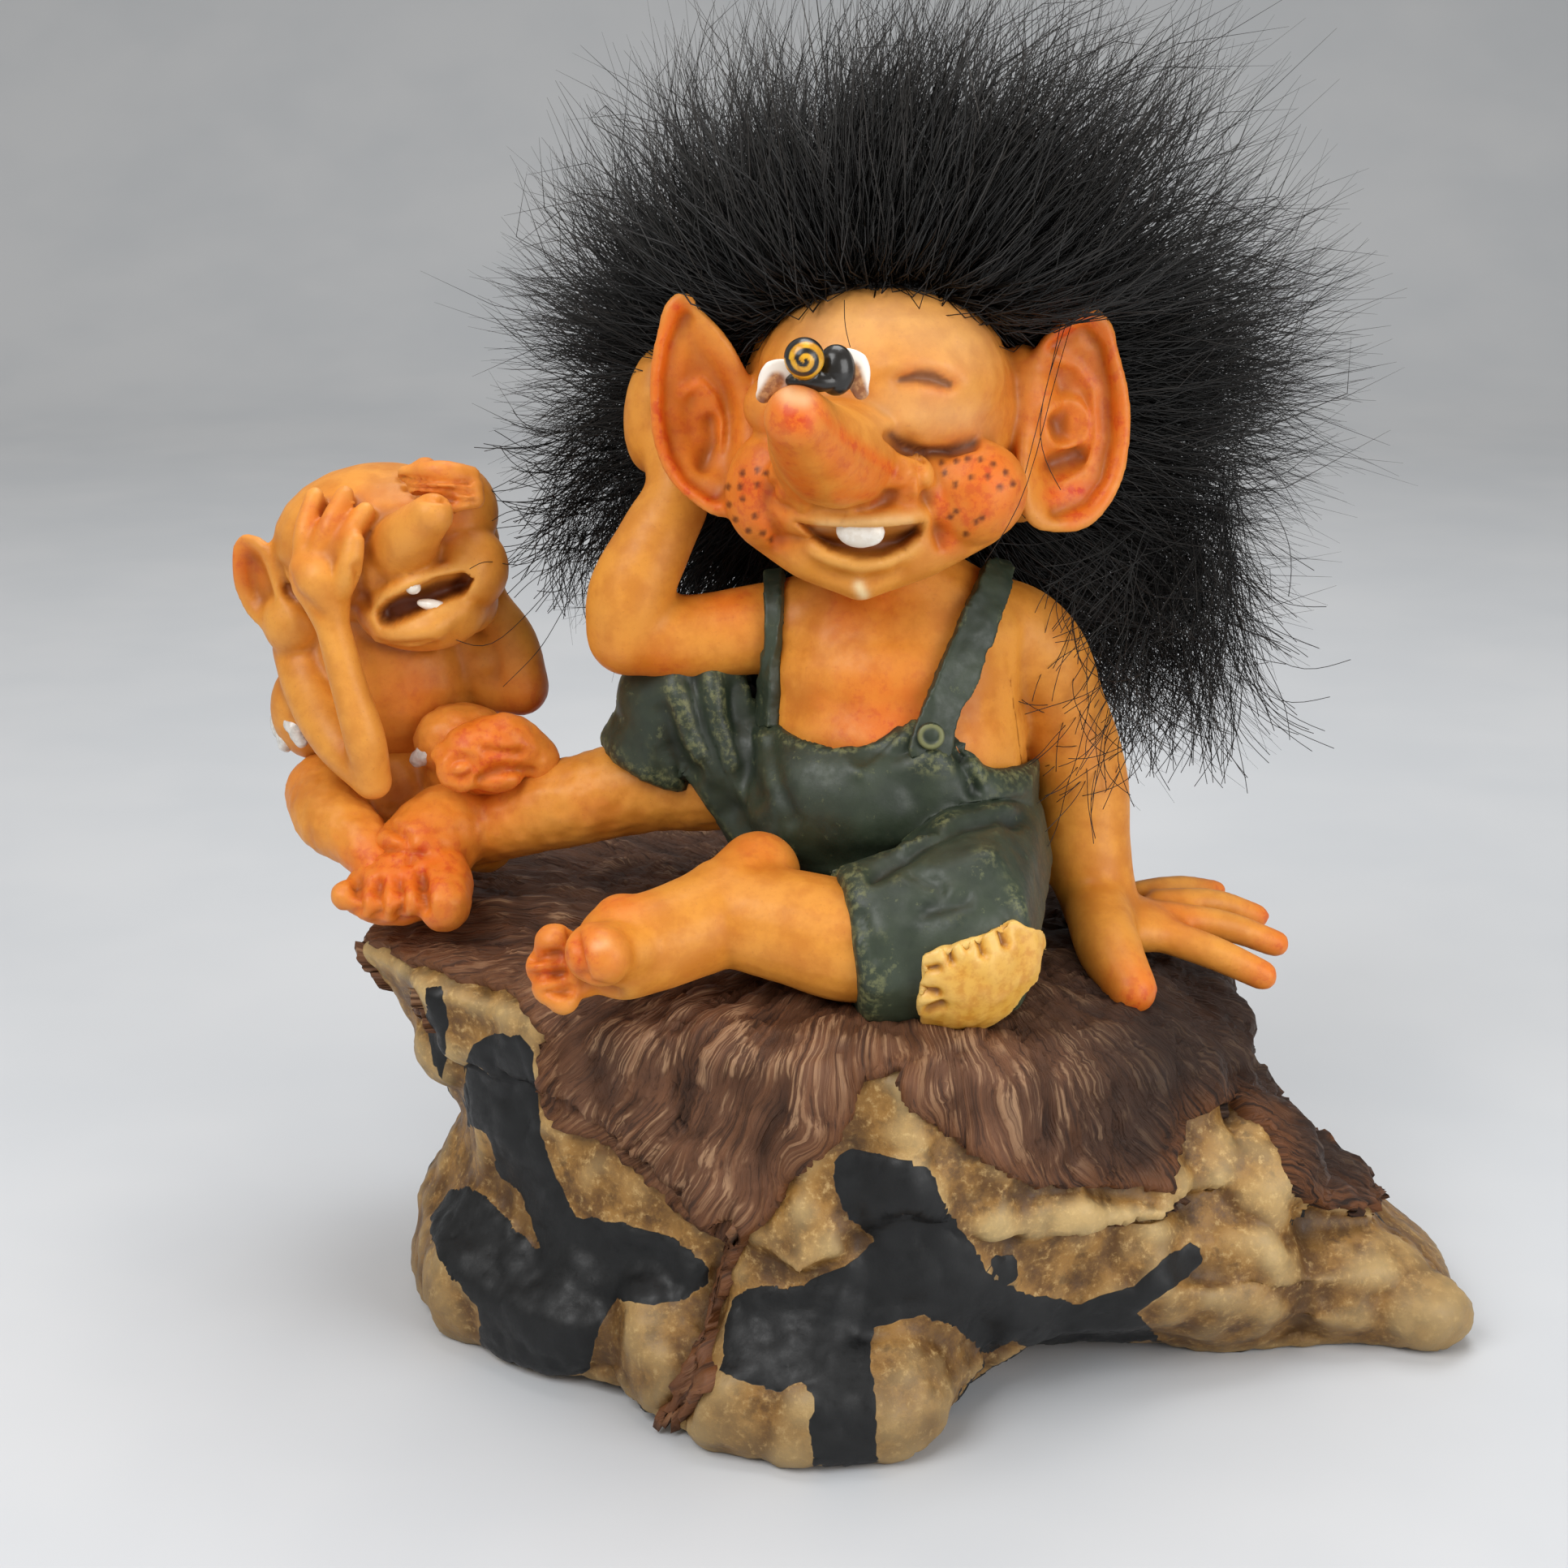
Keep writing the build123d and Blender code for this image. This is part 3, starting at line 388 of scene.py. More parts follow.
def blend(tree, share, first, second):
    """Two colours, or a colour and a socket, mixed by a share."""
    made = add(tree, "Mix", {"data_type": "RGBA"})
    for number, value in ((0, share), (6, first), (7, second)):
        if isinstance(value, str):
            made.inputs[number].default_value = linear(value)
        else:
            tree.links.new(value, made.inputs[number])
    return made.outputs[2]


def curve(tree, value, low, high, bottom=0.0, top=1.0):
    """A value stretched from the span low to high onto bottom to top."""
    return add(tree, "MapRange", {"From Min": low, "From Max": high, "To Min": bottom, "To Max": top,
                                  "interpolation_type": "SMOOTHSTEP"}, Value=value).outputs[0]


def times(tree, first, second):
    """Two values multiplied."""
    made = add(tree, "Math", {"operation": "MULTIPLY"})
    for number, value in enumerate((first, second)):
        if isinstance(value, float):
            made.inputs[number].default_value = value
        else:
            tree.links.new(value, made.inputs[number])
    return made.outputs[0]


def brush(tree, share, strength, under, colour):
    """A colour laid over another by a share, at a strength."""
    return blend(tree, times(tree, share, strength), under, colour)

def speckle(tree, where, size, detail=3.0, roughness=0.55):
    """Cloudy noise with spots of a size in mm."""
    return add(tree, "TexNoise", {"Scale": 1 / (size * MM), "Detail": detail, "Roughness": roughness},
               Vector=where).outputs["Fac"]


def bump(tree, shader, height, depth, strength=1.0):
    """Fine relief on the shader, of a depth in mm."""
    made = add(tree, "Bump", {"Strength": strength, "Distance": depth * MM}, Height=height)
    tree.links.new(made.outputs[0], shader.inputs["Normal"])


# %% Painted skin
def make_skin():
    """Orange-yellow acrylic with red washes and freckles, satin varnished: warm, waxy highlights."""
    made, tree, shader, where = paint("painted_resin_skin", 0.48, IOR=1.42, Specular_IOR_Level=0.4,
                                      Coat_Weight=0.04, Coat_Roughness=0.3)
    clouds = speckle(tree, where, 4.0, 5.0, 0.6)
    marks = speckle(tree, where, 0.9, 4.0, 0.65)
    skin = blend(tree, curve(tree, clouds, 0.38, 0.64), "#DC9034", "#C97A24")
    skin = brush(tree, curve(tree, marks, 0.5, 0.75), 0.35, skin, "#C8722A")
    skin = brush(tree, mask(tree, "ridge"), 0.45, skin, "#F0B862")
    grains = speckle(tree, where, 0.3, 3.0, 0.6)
    skin = brush(tree, curve(tree, grains, 0.6, 0.74), 0.3, skin, "#B0642A")
    patchy = curve(tree, speckle(tree, where, 1.8, 4.0, 0.6), 0.3, 0.62, 0.75)
    stain = times(tree, mask(tree, "wash"), patchy)
    deep = blend(tree, curve(tree, speckle(tree, where, 1.3, 4.0, 0.7), 0.48, 0.64), "#E0640E", "#CE360A")
    skin = blend(tree, stain, skin, deep)
    # Painted shade: the skin is painted dark brown in its hollows.
    skin = brush(tree, mask(tree, "hollow"), 0.85, skin, "#7E3E17")
    skin = blend(tree, mask(tree, "dark"), skin, "#55240E")
    # The pale mask lays cream paint: a real chip on the chin, and painted highlights on forehead, nose tip,
    # upper lip, eyelid and big toe.
    skin = blend(tree, mask(tree, "pale"), skin, "#EFD3A0")
    tree.links.new(skin, shader.inputs["Base Color"])
    tree.links.new(curve(tree, marks, 0.3, 0.7, 0.4, 0.54), shader.inputs["Roughness"])
    bump(tree, shader, marks, 0.05, 0.6)
    return made


# %% Painted cloth
def make_cloth():
    """Dark green acrylic, dry-brushed pale on folds and hems: the wear of cloth, painted on resin."""
    made, tree, shader, where = paint("painted_resin_cloth", 0.5, IOR=1.5, Coat_Weight=0.05,
                                      Coat_Roughness=0.35)
    marks = speckle(tree, where, 0.8, 5.0, 0.7)
    cloth = blend(tree, curve(tree, speckle(tree, where, 4.0), 0.35, 0.65), "#242E20", "#313B2A")
    # Painted shade: the cloth is painted near black in its folds.
    cloth = brush(tree, mask(tree, "hollow"), 0.8, cloth, "#141B16")
    brushed = times(tree, curve(tree, mask(tree, "ridge"), 0.3, 0.85), curve(tree, marks, 0.44, 0.64))
    cloth = brush(tree, brushed, 0.6, cloth, "#7E7F52")
    cloth = brush(tree, mask(tree, "rim"), 0.6, cloth, "#8E8E5A")
    stray = times(tree, curve(tree, speckle(tree, where, 1.6, 6.0, 0.75), 0.6, 0.68), 0.5)
    cloth = blend(tree, stray, cloth, "#6C704A")
    tree.links.new(cloth, shader.inputs["Base Color"])
    tree.links.new(curve(tree, marks, 0.3, 0.7, 0.42, 0.6), shader.inputs["Roughness"])
    bump(tree, shader, marks, 0.05, 0.6)
    return made


# %% Painted patch
def make_patch():
    """Ochre acrylic over the stitched patch, painted darker brown in its hollows as painted shade."""
    made, tree, shader, where = paint("painted_resin_patch", 0.42, IOR=1.5, Coat_Weight=0.1,
                                      Coat_Roughness=0.3)
    marks = speckle(tree, where, 1.0, 5.0, 0.65)
    patch = blend(tree, curve(tree, marks, 0.4, 0.65), "#DDA53E", "#CC8A26")
    patch = brush(tree, mask(tree, "ridge"), 0.6, patch, "#F1CE7C")
    # Painted shade: darker brown in the hollows, the stitch grooves among them.
    patch = brush(tree, mask(tree, "hollow"), 0.9, patch, "#8A5420")
    patch = blend(tree, mask(tree, "dark"), patch, "#3A2A18")
    tree.links.new(patch, shader.inputs["Base Color"])
    bump(tree, shader, marks, 0.05, 0.6)
    return made


# %% Dry-brushed bark
def make_bark():
    """Dark brown acrylic, dry-brushed rosy tan along the ridges: the fibres of torn bark."""
    made, tree, shader, where = paint("painted_resin_bark", 0.62, IOR=1.5, Specular_IOR_Level=0.3)
    flow = add(tree, "Attribute", {"attribute_name": "flow"}).outputs["Vector"]
    fibres = add(tree, "TexNoise", {"Scale": 1.0, "Detail": 4.0, "Roughness": 0.6},
                 Vector=flow).outputs["Fac"]
    streaks = add(tree, "TexNoise", {"Scale": 0.4, "Detail": 4.0, "Roughness": 0.6},
                  Vector=flow).outputs["Fac"]
    bark = blend(tree, curve(tree, speckle(tree, where, 7.0), 0.35, 0.65), "#563724", "#6E4A34")
    # Painted shade: the bark is painted near black in its hollows.
    bark = brush(tree, mask(tree, "hollow"), 0.85, bark, "#1E1410")
    brushed = times(tree, curve(tree, mask(tree, "ridge"), 0.1, 0.6), curve(tree, fibres, 0.48, 0.6))
    bark = brush(tree, brushed, 0.8, bark, "#B08A68")
    bark = brush(tree, curve(tree, streaks, 0.5, 0.64), 0.45, bark, "#7A5034")
    bark = blend(tree, curve(tree, fibres, 0.44, 0.36, 0.0, 0.55), bark, "#2A1B15")
    # Painted shade: the bark darkens towards the right, away from the key lamp.
    along = add(tree, "SeparateXYZ", Vector=where).outputs["X"]
    bark = blend(tree, curve(tree, along, 0.012, 0.028, 0.0, 0.86), bark, "#20120B")
    bark = blend(tree, times(tree, mask(tree, "rim"), curve(tree, fibres, 0.35, 0.6)), bark, "#6B4022")
    tree.links.new(bark, shader.inputs["Base Color"])
    tree.links.new(curve(tree, fibres, 0.3, 0.7, 0.7, 0.48), shader.inputs["Roughness"])
    bump(tree, shader, fibres, 0.5, 1.0)
    return made


# %% Varnished rock
def make_rock():
    """Ochre acrylic sponged pale and brown under a satin varnish, with blue-black patches of moss."""
    made, tree, shader, where = paint("painted_resin_rock", 0.5, IOR=1.5, Specular_IOR_Level=0.35,
                                      Coat_Weight=0.05, Coat_Roughness=0.3)
    sponge = speckle(tree, where, 3.2, 6.0, 0.7)
    grit = speckle(tree, where, 0.8, 5.0, 0.7)
    rock = blend(tree, curve(tree, sponge, 0.36, 0.62), "#67451D", "#9C7237")
    rock = brush(tree, curve(tree, grit, 0.52, 0.74), 0.8, rock, "#CDAC74")
    rock = brush(tree, curve(tree, speckle(tree, where, 2.4, 5.0, 0.7), 0.5, 0.66), 0.7, rock, "#4E3416")
    rock = brush(tree, mask(tree, "ridge"), 0.6, rock, "#D8BB82")
    # Painted shade: the rock is painted dark brown in its hollows.
    rock = brush(tree, mask(tree, "hollow"), 0.85, rock, "#3A240F")
    # Painted shade: the rock darkens towards the floor.
    height = add(tree, "SeparateXYZ", Vector=where).outputs["Z"]
    rock = blend(tree, curve(tree, height, 0.018, 0.002, 0.0, 0.4), rock, "#50361A")
    moss = blend(tree, curve(tree, sponge, 0.35, 0.65), "#090A0B", "#151617")
    rock = blend(tree, curve(tree, mask(tree, "moss"), 0.45, 0.55), rock, moss)
    tree.links.new(rock, shader.inputs["Base Color"])
    tree.links.new(curve(tree, grit, 0.3, 0.7, 0.42, 0.6), shader.inputs["Roughness"])
    bump(tree, shader, times(tree, grit, curve(tree, mask(tree, "moss"), 0.4, 0.6, 1.0, 0.35)), 0.14, 0.7)
    return made


skin_paint, cloth_paint, patch_paint = make_skin(), make_cloth(), make_patch()
bark_paint, rock_paint = make_bark(), make_rock()
print("paints", len(bpy.data.materials))

# %% [markdown]
# ## Small paints, glue and hair
# Teeth and bee are glossy enamel-like acrylic. The glue at the little troll's waist has dried whitish.
# Fur is dyed black goat hair: long, straight and a little shiny, nearly black with a cool sheen.

# %% Small materials
def make_plain(name, first, second, size, roughness):
    """Glossy paint in two close tones, with a brushed unevenness."""
    made, tree, shader, where = paint(name, roughness, IOR=1.5, Coat_Weight=0.3, Coat_Roughness=0.15)
    marks = speckle(tree, where, size, 4.0, 0.6)
    tone = blend(tree, curve(tree, marks, 0.4, 0.62), first, second)
    # Painted shade: brown laid in the hollows of tooth, bee and glue; on the black hide the same brown is
    # lighter than the hide.
    tone = brush(tree, mask(tree, "hollow"), 0.8, tone, "#6A4A2A")
    tone = blend(tree, mask(tree, "rim"), tone, "#F1E8DC")
    tone = blend(tree, mask(tree, "dark"), tone, "#17130F")
    tree.links.new(tone, shader.inputs["Base Color"])
    bump(tree, shader, marks, 0.03, 0.5)
    return made


def make_fur():
    """Dyed goat hair: near black, with brown-grey strands among it and a soft gloss along each."""
    made, tree, shader, where = paint("dyed_goat_fur", 0.48, IOR=1.5, Specular_IOR_Level=0.35)
    # Strands run from black at the root to their own brown-grey tone at the tip: the black roots are
    # painted shade in the dense fur.
    tone = blend(tree, mask(tree, "strand"), "#050505", "#3C3631")
    tone = brush(tree, speckle(tree, where, 12.0), 0.3, tone, "#080808")
    tree.links.new(tone, shader.inputs["Base Color"])
    return made


tooth_paint = make_plain("painted_resin_tooth", "#F1ECE2", "#E4DCCE", 1.2, 0.3)
bee_paint = make_plain("painted_resin_bee", "#E3A81E", "#C98A12", 0.9, 0.3)
wing_paint = make_plain("painted_resin_wing", "#C08A58", "#8E5630", 0.9, 0.35)
glue_paint = make_plain("dried_white_glue", "#DAD8D2", "#C2BFB8", 0.7, 0.25)
hide_paint = make_plain("tanned_black_hide", "#080808", "#121110", 0.9, 0.8)
fur_paint = make_fur()


def finish_piece(piece, material, slot, *nodes):
    """Give a piece its paint, its body, and the CAD nodes that it stands for. The slot is not used."""
    piece.data.materials.clear()
    piece.data.materials.append(material)
    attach(piece, "root")
    if nodes:
        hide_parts(*nodes)
    print(piece.name, len(piece.data.polygons), "faces")


# %% [markdown]
# ## The rock and its bark
# The hill is one lump of clay: a stump whose bark spreads over a rock with feet. It is copied from the
# CAD solids and melted soft. The bark is the same lump again, swollen where bark lies and sunk under
# the rock elsewhere, so that it ends in the ragged lip that the figure has.

# %% Lump of the hill
def stand(piece):
    """Flatten what lies under the floor."""
    points = points_of(piece)
    points[:, 2] = np.maximum(points[:, 2], 0)
    move_to(piece, points)

hill = cast("varnished_rock", (
    copied("rock_base", "bark_cap") + ball((-39.6, -4.0, 26.6), (4.8, 6.0, 4.8))
    + ball((-37.0, -14.0, 4.0), (5.6, 5.0, 5.6))
    + ball((-27.0, -20.0, 4.6), (6.0, 5.4, 6.0)) + ball((-10.0, -36.0, 4.2), (6.6, 5.0, 5.6))
    + ball((2.0, -36.0, 5.0), (6.4, 5.0, 6.4)) + ball((55.0, -16.8, 3.4), (5.4, 4.0, 3.8))
    + ball((38.0, -14.0, 17.0), (7.0, 7.4, 7.0)) + ball((-19.0, -28.0, 6.4), (5.6, 5.4, 6.4))
), 0.62, 12)
roughen(hill, 8.0, 0.6, 3.0)
roughen(hill, 3.0, 0.32, 7.0)
roughen(hill, 1.3, 0.12, 2.0)
draw(hill, [[(895, 1515), (880, 1570), (868, 1620), (845, 1690), (822, 1760)]], 1.5, -2.0)
stand(hill)
bark = new_piece("ridged_bark", hill.data.copy())
draw(hill, [[(738, 1610), (738, 1660), (742, 1740)],
            [(1600, 1500), (1615, 1560), (1612, 1620), (1598, 1690)],
            [(1480, 1568), (1550, 1580), (1600, 1592)], [(1215, 1640), (1235, 1690), (1240, 1730)]], 2.2,
            -1.5)
draw(hill, [[(1520, 1460), (1560, 1500), (1570, 1545)], [(560, 1560), (640, 1640)],
            [(1000, 1760), (1080, 1760)],
            [(1700, 1560), (1770, 1620)], [(610, 1300), (640, 1400)], [(1110, 1450), (1190, 1560)],
            [(1300, 1500), (1400, 1510)]], 3.6, 1.1)
draw(hill, [[(664, 1560), (640, 1500), (612, 1440)], [(1060, 1640), (1075, 1560), (1050, 1500)],
            [(1210, 1480), (1330, 1460), (1440, 1480)]], 1.6, -0.8)
stand(hill)
print("hill", len(hill.data.vertices), "points")

# %% Lip and fibres of the bark
bark_front = [(439, 1141), (464, 1173), (516, 1199), (553, 1213), (619, 1221), (650, 1261), (664, 1279),
              (659, 1324), (681, 1393), (739, 1407), (773, 1439), (830, 1490), (887, 1524), (881, 1559),
              (870, 1604), (853, 1656), (824, 1707), (800, 1760), (842, 1760), (881, 1719), (881, 1656),
              (904, 1576), (916, 1547), (961, 1496), (979, 1461), (1024, 1416), (1053, 1370), (1064, 1330),
              (1104, 1330), (1116, 1370), (1167, 1404), (1230, 1444), (1275, 1465), (1365, 1465),
              (1450, 1475), (1450, 1415), (1465, 1380), (1510, 1360), (1560, 1390), (1585, 1450),
              (1600, 1480), (1700, 1500), (1750, 1000), (380, 900), (420, 1100)]
left_end, lip_height, lip_fall = -45, 31, 0.19
points, normals, spots, pixel = read(bark)
rim = inside(frayed(spots, points, 8, 2.2, 1.0), bark_front) * pixel
level = lip_height - (points[:, 0] - left_end) * lip_fall + 2.5 * lumps(points, 5.0, 9.0)
rim = np.where(facing(points, normals) > 0.1, rim, (points[:, 2] - level) * 0.8)
seat = np.array([4.0, -4.0])
bark_top, fibres_round, fibre_length = 38, 15, 15
aside, back, below = points[:, 0] - seat[0], points[:, 1] - seat[1], bark_top - points[:, 2]
turn = np.arctan2(aside, -back)
across = turn * fibres_round - 0.3 * np.sin(turn) * below + 0.6 * lumps(points, 8.0, 2.0)
down = (np.hypot(aside, back) + below) / fibre_length + 0.4 * lumps(points, 6.0, 5.0)
flow = np.stack([across, down, np.zeros(len(turn))], axis=1)
fibres = np.maximum(1 - 2.8 * np.abs(lumps(flow * [1.8, 1.0, 1.0], 1.0, 4.0, 3)), -0.7)
on_bark = step(rim, 0.35)[:, None]
swell = 0.5 + 0.4 * np.exp(-(rim / 1.6) ** 2) + 0.45 * fibres * step(rim - 0.4, 0.5)
core = np.array([4.0, -2.0, 14.0])
rock_sink, rock_shrink = 1.4, 0.92
sunk = core + (points - normals * rock_sink - core) * rock_shrink
points = on_bark * (points + normals * swell[:, None]) + (1 - on_bark) * sunk
points[:, 2] = np.maximum(points[:, 2], 0)
move_to(bark, points)
measure_relief(bark, 10, 0.32)
keep(bark, "rim", np.exp(-(rim / 2.2) ** 2))
layer = bark.data.attributes.new("flow", "FLOAT_VECTOR", "POINT")
layer.data.foreach_set("vector", (flow * [5.6, 2.2, 1]).astype(np.float32).ravel())
finish_piece(bark, bark_paint, "painted_bark", "bark_cap")

# %% Moss patches and cracks of the rock
moss_patches = [
    [(583, 1285), (610, 1273), (640, 1275), (655, 1292), (661, 1330), (668, 1400), (690, 1460), (715, 1500),
     (770, 1507), (830, 1525), (870, 1555), (874, 1580), (840, 1605), (800, 1608), (760, 1602), (735, 1640),
     (725, 1690), (700, 1695), (660, 1692), (620, 1675), (592, 1655), (590, 1610), (560, 1580), (535, 1540),
     (532, 1500), (550, 1470), (575, 1464), (600, 1475), (625, 1500), (650, 1530), (668, 1545), (655, 1500),
     (640, 1470), (612, 1440), (606, 1400), (580, 1385), (572, 1350), (576, 1310)],
    [(1025, 1425), (1050, 1415), (1085, 1418), (1110, 1430), (1145, 1438), (1155, 1470), (1180, 1510),
     (1205, 1545), (1215, 1570), (1250, 1590), (1300, 1600), (1330, 1605), (1395, 1585), (1440, 1545),
     (1465, 1530), (1482, 1540), (1480, 1560), (1440, 1590), (1400, 1615), (1430, 1650), (1380, 1655),
     (1320, 1668), (1290, 1670), (1250, 1650), (1210, 1668), (1170, 1630), (1130, 1620), (1075, 1635),
     (1075, 1690), (1082, 1800), (1000, 1810), (1000, 1720), (990, 1705), (960, 1715), (920, 1705),
     (888, 1690), (895, 1640), (903, 1600), (925, 1585), (975, 1588), (1020, 1570), (1060, 1545),
     (1080, 1525), (1045, 1500), (1030, 1470)],
    [(1218, 1545), (1250, 1548), (1255, 1575), (1240, 1585), (1225, 1570)],
    [(524, 1215), (545, 1215), (553, 1260), (548, 1330), (535, 1310), (527, 1260)]]
points, normals, spots, pixel = read(hill)
ragged = frayed(spots, points, 4, 1.6, 2.0)
moss = np.maximum.reduce([inside(ragged, patch) * pixel for patch in moss_patches])
back_moss = (lumps(points, 11.0, 21.0) - 0.22) * 9
moss = np.where(facing(points, normals) > 0.1, moss, back_moss)
points = points + normals * (0.25 * step(moss, 0.25))[:, None]
points[:, 2] = np.maximum(points[:, 2], 0)
move_to(hill, points)
keep(hill, "moss", step(moss, 0.35))
measure_relief(hill, 10, 0.4)
finish_piece(hill, rock_paint, "painted_rock", "rock_base")

# %% [markdown]
# ## The boy's body
# Torso and arms were one clay figure before the moulds were made, so they are melted together here, and
# then parted at the shoulders with flat cuts. The skin runs on over the cuts without a crease.

# %% Torso and arms
def cut_off(piece, name, place, heading):
    """Part a piece with a flat cut: what lies ahead of it becomes a piece of its own."""
    other = new_piece(name, piece.data.copy())
    for part, clear in ((piece, "clear_outer"), (other, "clear_inner")):
        pick(part)
        bpy.ops.object.mode_set(mode="EDIT")
        bpy.ops.mesh.select_all(action="SELECT")
        bpy.ops.mesh.bisect(plane_co=Vector(place) * MM, plane_no=heading, use_fill=True, **{clear: True})
        bpy.ops.mesh.mark_sharp()
        bpy.ops.object.mode_set(mode="OBJECT")
    return other


def finger(root, knuckle, tip, size):
    """A finger with a soft knuckle."""
    return tube([root, knuckle, tip], [size * 1.05, size, size * 0.9])


palm = (26.6, -2.6, 38.6)
body = cast("boy_torso", (
    copied("torso")
    + ball((3.8, -3.4, 50.0), (13.6, 11.8, 10.0)) + ball((3.7, -3.2, 58.0), (12.9, 11.6, 9.0))
    + ball((3.6, -3.0, 64.6), (12.4, 9.6, 7.2))
    + tube([(-5.2, -1.6, 68.6), (3.4, -2.4, 70.0), (12.2, -1.0, 68.2)],
                                                       [4.8, 5.4, 5.0])
    + tube([(10.0, 0.0, 67.4), (15.6, 0.2, 66.6), (20.0, 1.2, 59.0), (22.2, 1.0, 52.0), (23.0, -0.6, 45.0),
            (24.6, -2.6, 39.6)], [5.6, 5.4, 4.8, 4.9, 4.5, 3.7])
    + ball(palm, (6.2, 4.8, 2.7), (0, 10, 0))
    + tube([(23.8, -5.0, 40.4), (24.4, -11.0, 38.6), (26.0, -15.6, 36.4)], [3.3, 3.2, 2.5])
    + finger((30.0, -4.4, 38.0), (35.5, -5.4, 36.2), (40.2, -5.6, 34.0), 1.75)
    + finger((31.0, -1.4, 38.6), (37.0, -0.6, 37.4), (42.4, 0.2, 35.2), 1.6)
    + finger((30.6, 1.6, 39.0), (36.4, 3.4, 38.4), (41.2, 5.0, 36.4), 1.5)
    + finger((28.8, 4.0, 39.2), (33.4, 7.0, 38.8), (37.6, 9.4, 37.6), 1.35)
    + tube([(-2.0, 0.0, 68.6), (-9.0, -1.6, 68.2), (-16.0, -2.6, 67.6), (-21.4, -3.2, 68.2)],
           [5.0, 4.4, 4.1, 4.1])
    + tube([(-21.8, -3.4, 68.2), (-21.6, -3.8, 72.0), (-19.2, -2.8, 77.2), (-17.0, -0.4, 82.0),
            (-18.4, 2.8, 87.4)], [4.2, 4.2, 3.7, 3.2, 3.4])
    + ball((-19.2, 3.2, 88.6), (3.2, 3.6, 6.4), (0, 8, 0))
    + finger((-19.2, 4.4, 90.0), (-17.4, 6.0, 95.0), (-14.4, 6.6, 98.0), 1.5)
    + finger((-18.6, 5.4, 88.6), (-15.0, 7.6, 93.0), (-11.0, 8.6, 96.0), 1.5)
), 0.36, 24)
draw(body, [[(1155, 1085), (1180, 1120), (1190, 1150)]], 0.8, -0.3, (-40, 20))
measure_relief(body, 12, 0.5)
print("body", len(body.data.vertices), "points")
whole_form = new_piece("whole_form", body.data.copy())
propping = cut_off(body, "boy_propping_arm", (14.2, 0, 66), Vector((1, 0, 0.16)).normalized())
resting = cut_off(body, "boy_resting_arm", (-9.4, 0, 66), (-1, 0, 0))
shell_form = new_piece("shell_form", body.data.copy())
for piece, slot_node in ((body, "torso"), (propping, "propping_arm"), (resting, "resting_arm")):
    keep_spots(piece, "wash", [((41.4, -5.6, 34.0), 3.6, 0.75), ((43.4, 0.2, 35.0), 3.6, 0.75),
                               ((42.0, 5.0, 36.4), 3.0, 0.7), ((38.6, 9.4, 37.6), 3.0, 0.7),
                               ((26.4, -17.0, 36.0), 3.8, 0.85), ((32.0, -3.0, 40.0), 3.0, 0.45),
                               ((-19.0, -6.5, 63.6), 3.4, 0.7), ((-22.5, -6.0, 65.0), 3.0, 0.3),
                               ((3.0, -14.0, 62.0), 7.0, 0.7), ((-12.0, -4.0, 71.6), 3.0, 0.6),
                               ((20.0, -3.0, 57.0), 4.0, 0.2), ((0.0, -8.0, 74.0), 5.0, 0.55)])
    finish_piece(piece, skin_paint, "painted_skin", slot_node)

# %% [markdown]
# ## Legs and feet
# Both shins come out of the trouser legs and end in big bare feet with round toes. Rolls for the shin,
# heel and ball of the foot and a ball for each toe make them.

# %% Legs
folded = cast("boy_folded_leg", (
    tube([(6.0, -24.0, 45.0), (-1.0, -24.4, 44.6), (-6.0, -23.8, 45.6), (-11.4, -22.6, 46.4)],
         [5.8, 5.7, 5.3, 4.9])
    + tube([(-9.4, -18.6, 49.0), (-11.6, -21.4, 47.0), (-17.0, -25.0, 45.4), (-21.4, -26.8, 44.6)],
           [4.0, 4.9, 4.6, 4.6])
    + ball((-21.6, -25.6, 47.0), (2.8, 2.8, 2.4))
    + tube([(-20.4, -29.0, 45.4), (-23.7, -31.4, 46.0)], [2.6, 2.8])
    + ball((-27.6, -28.0, 45.7), (1.9, 1.9, 1.8)) + ball((-28.5, -28.6, 43.6), (1.8, 1.8, 1.7))
    + ball((-28.0, -29.2, 41.8), (1.7, 1.7, 1.6)) + ball((-26.8, -29.6, 40.8), (1.5, 1.5, 1.4))
    + ball((-25.2, -27.8, 43.4), (2.8, 2.6, 3.0)) + ball(at(742, 1178, -32.4), (2.7, 2.6, 2.8))
), 0.38, 6)
raised = cast("boy_raised_leg", (
    tube([(-14.0, 1.0, 52.0), (-20.0, 1.8, 51.4), (-28.0, 2.0, 49.6), (-36.4, 3.2, 46.8)],
         [4.9, 4.7, 4.5, 3.8])
    + tube([(-37.6, 6.4, 44.4), (-40.2, 2.8, 46.6), (-43.4, -1.4, 44.6)], [3.6, 4.6, 4.8])
    + ball((-44.6, -4.4, 42.6), (6.0, 4.4, 3.4), (0, -6, 0))
    + tube([(-40.6, -4.4, 43.4), (-39.9, -8.4, 42.4)], [3.2, 2.7])
    + ball(at(505, 1108, -8.6), (1.7, 2.0, 1.7)) + ball(at(479, 1114, -8.4), (1.7, 2.0, 1.7))
    + ball(at(452, 1113, -8.0), (1.7, 2.0, 1.6)) + ball(at(427, 1103, -7.0), (1.6, 1.9, 1.5))
), 0.38, 6)
draw(raised, [[(440, 1082), (441, 1124)], [(466, 1086), (466, 1130)], [(492, 1086), (493, 1128)],
              [(519, 1076), (523, 1122)], [(430, 1060), (470, 1045), (520, 1050)],
              [(470, 1010), (500, 1030), (505, 1060)]], 0.5, -0.8, (-14, 4))
roughen(raised, 1.6, 0.15, 3.0)
draw(folded, [[(690, 1176), (652, 1180)], [(692, 1200), (655, 1204)], [(700, 1220), (670, 1226)],
              [(706, 1142), (711, 1180), (722, 1216), (760, 1226)]], 0.5, -0.8, (-36, -20))
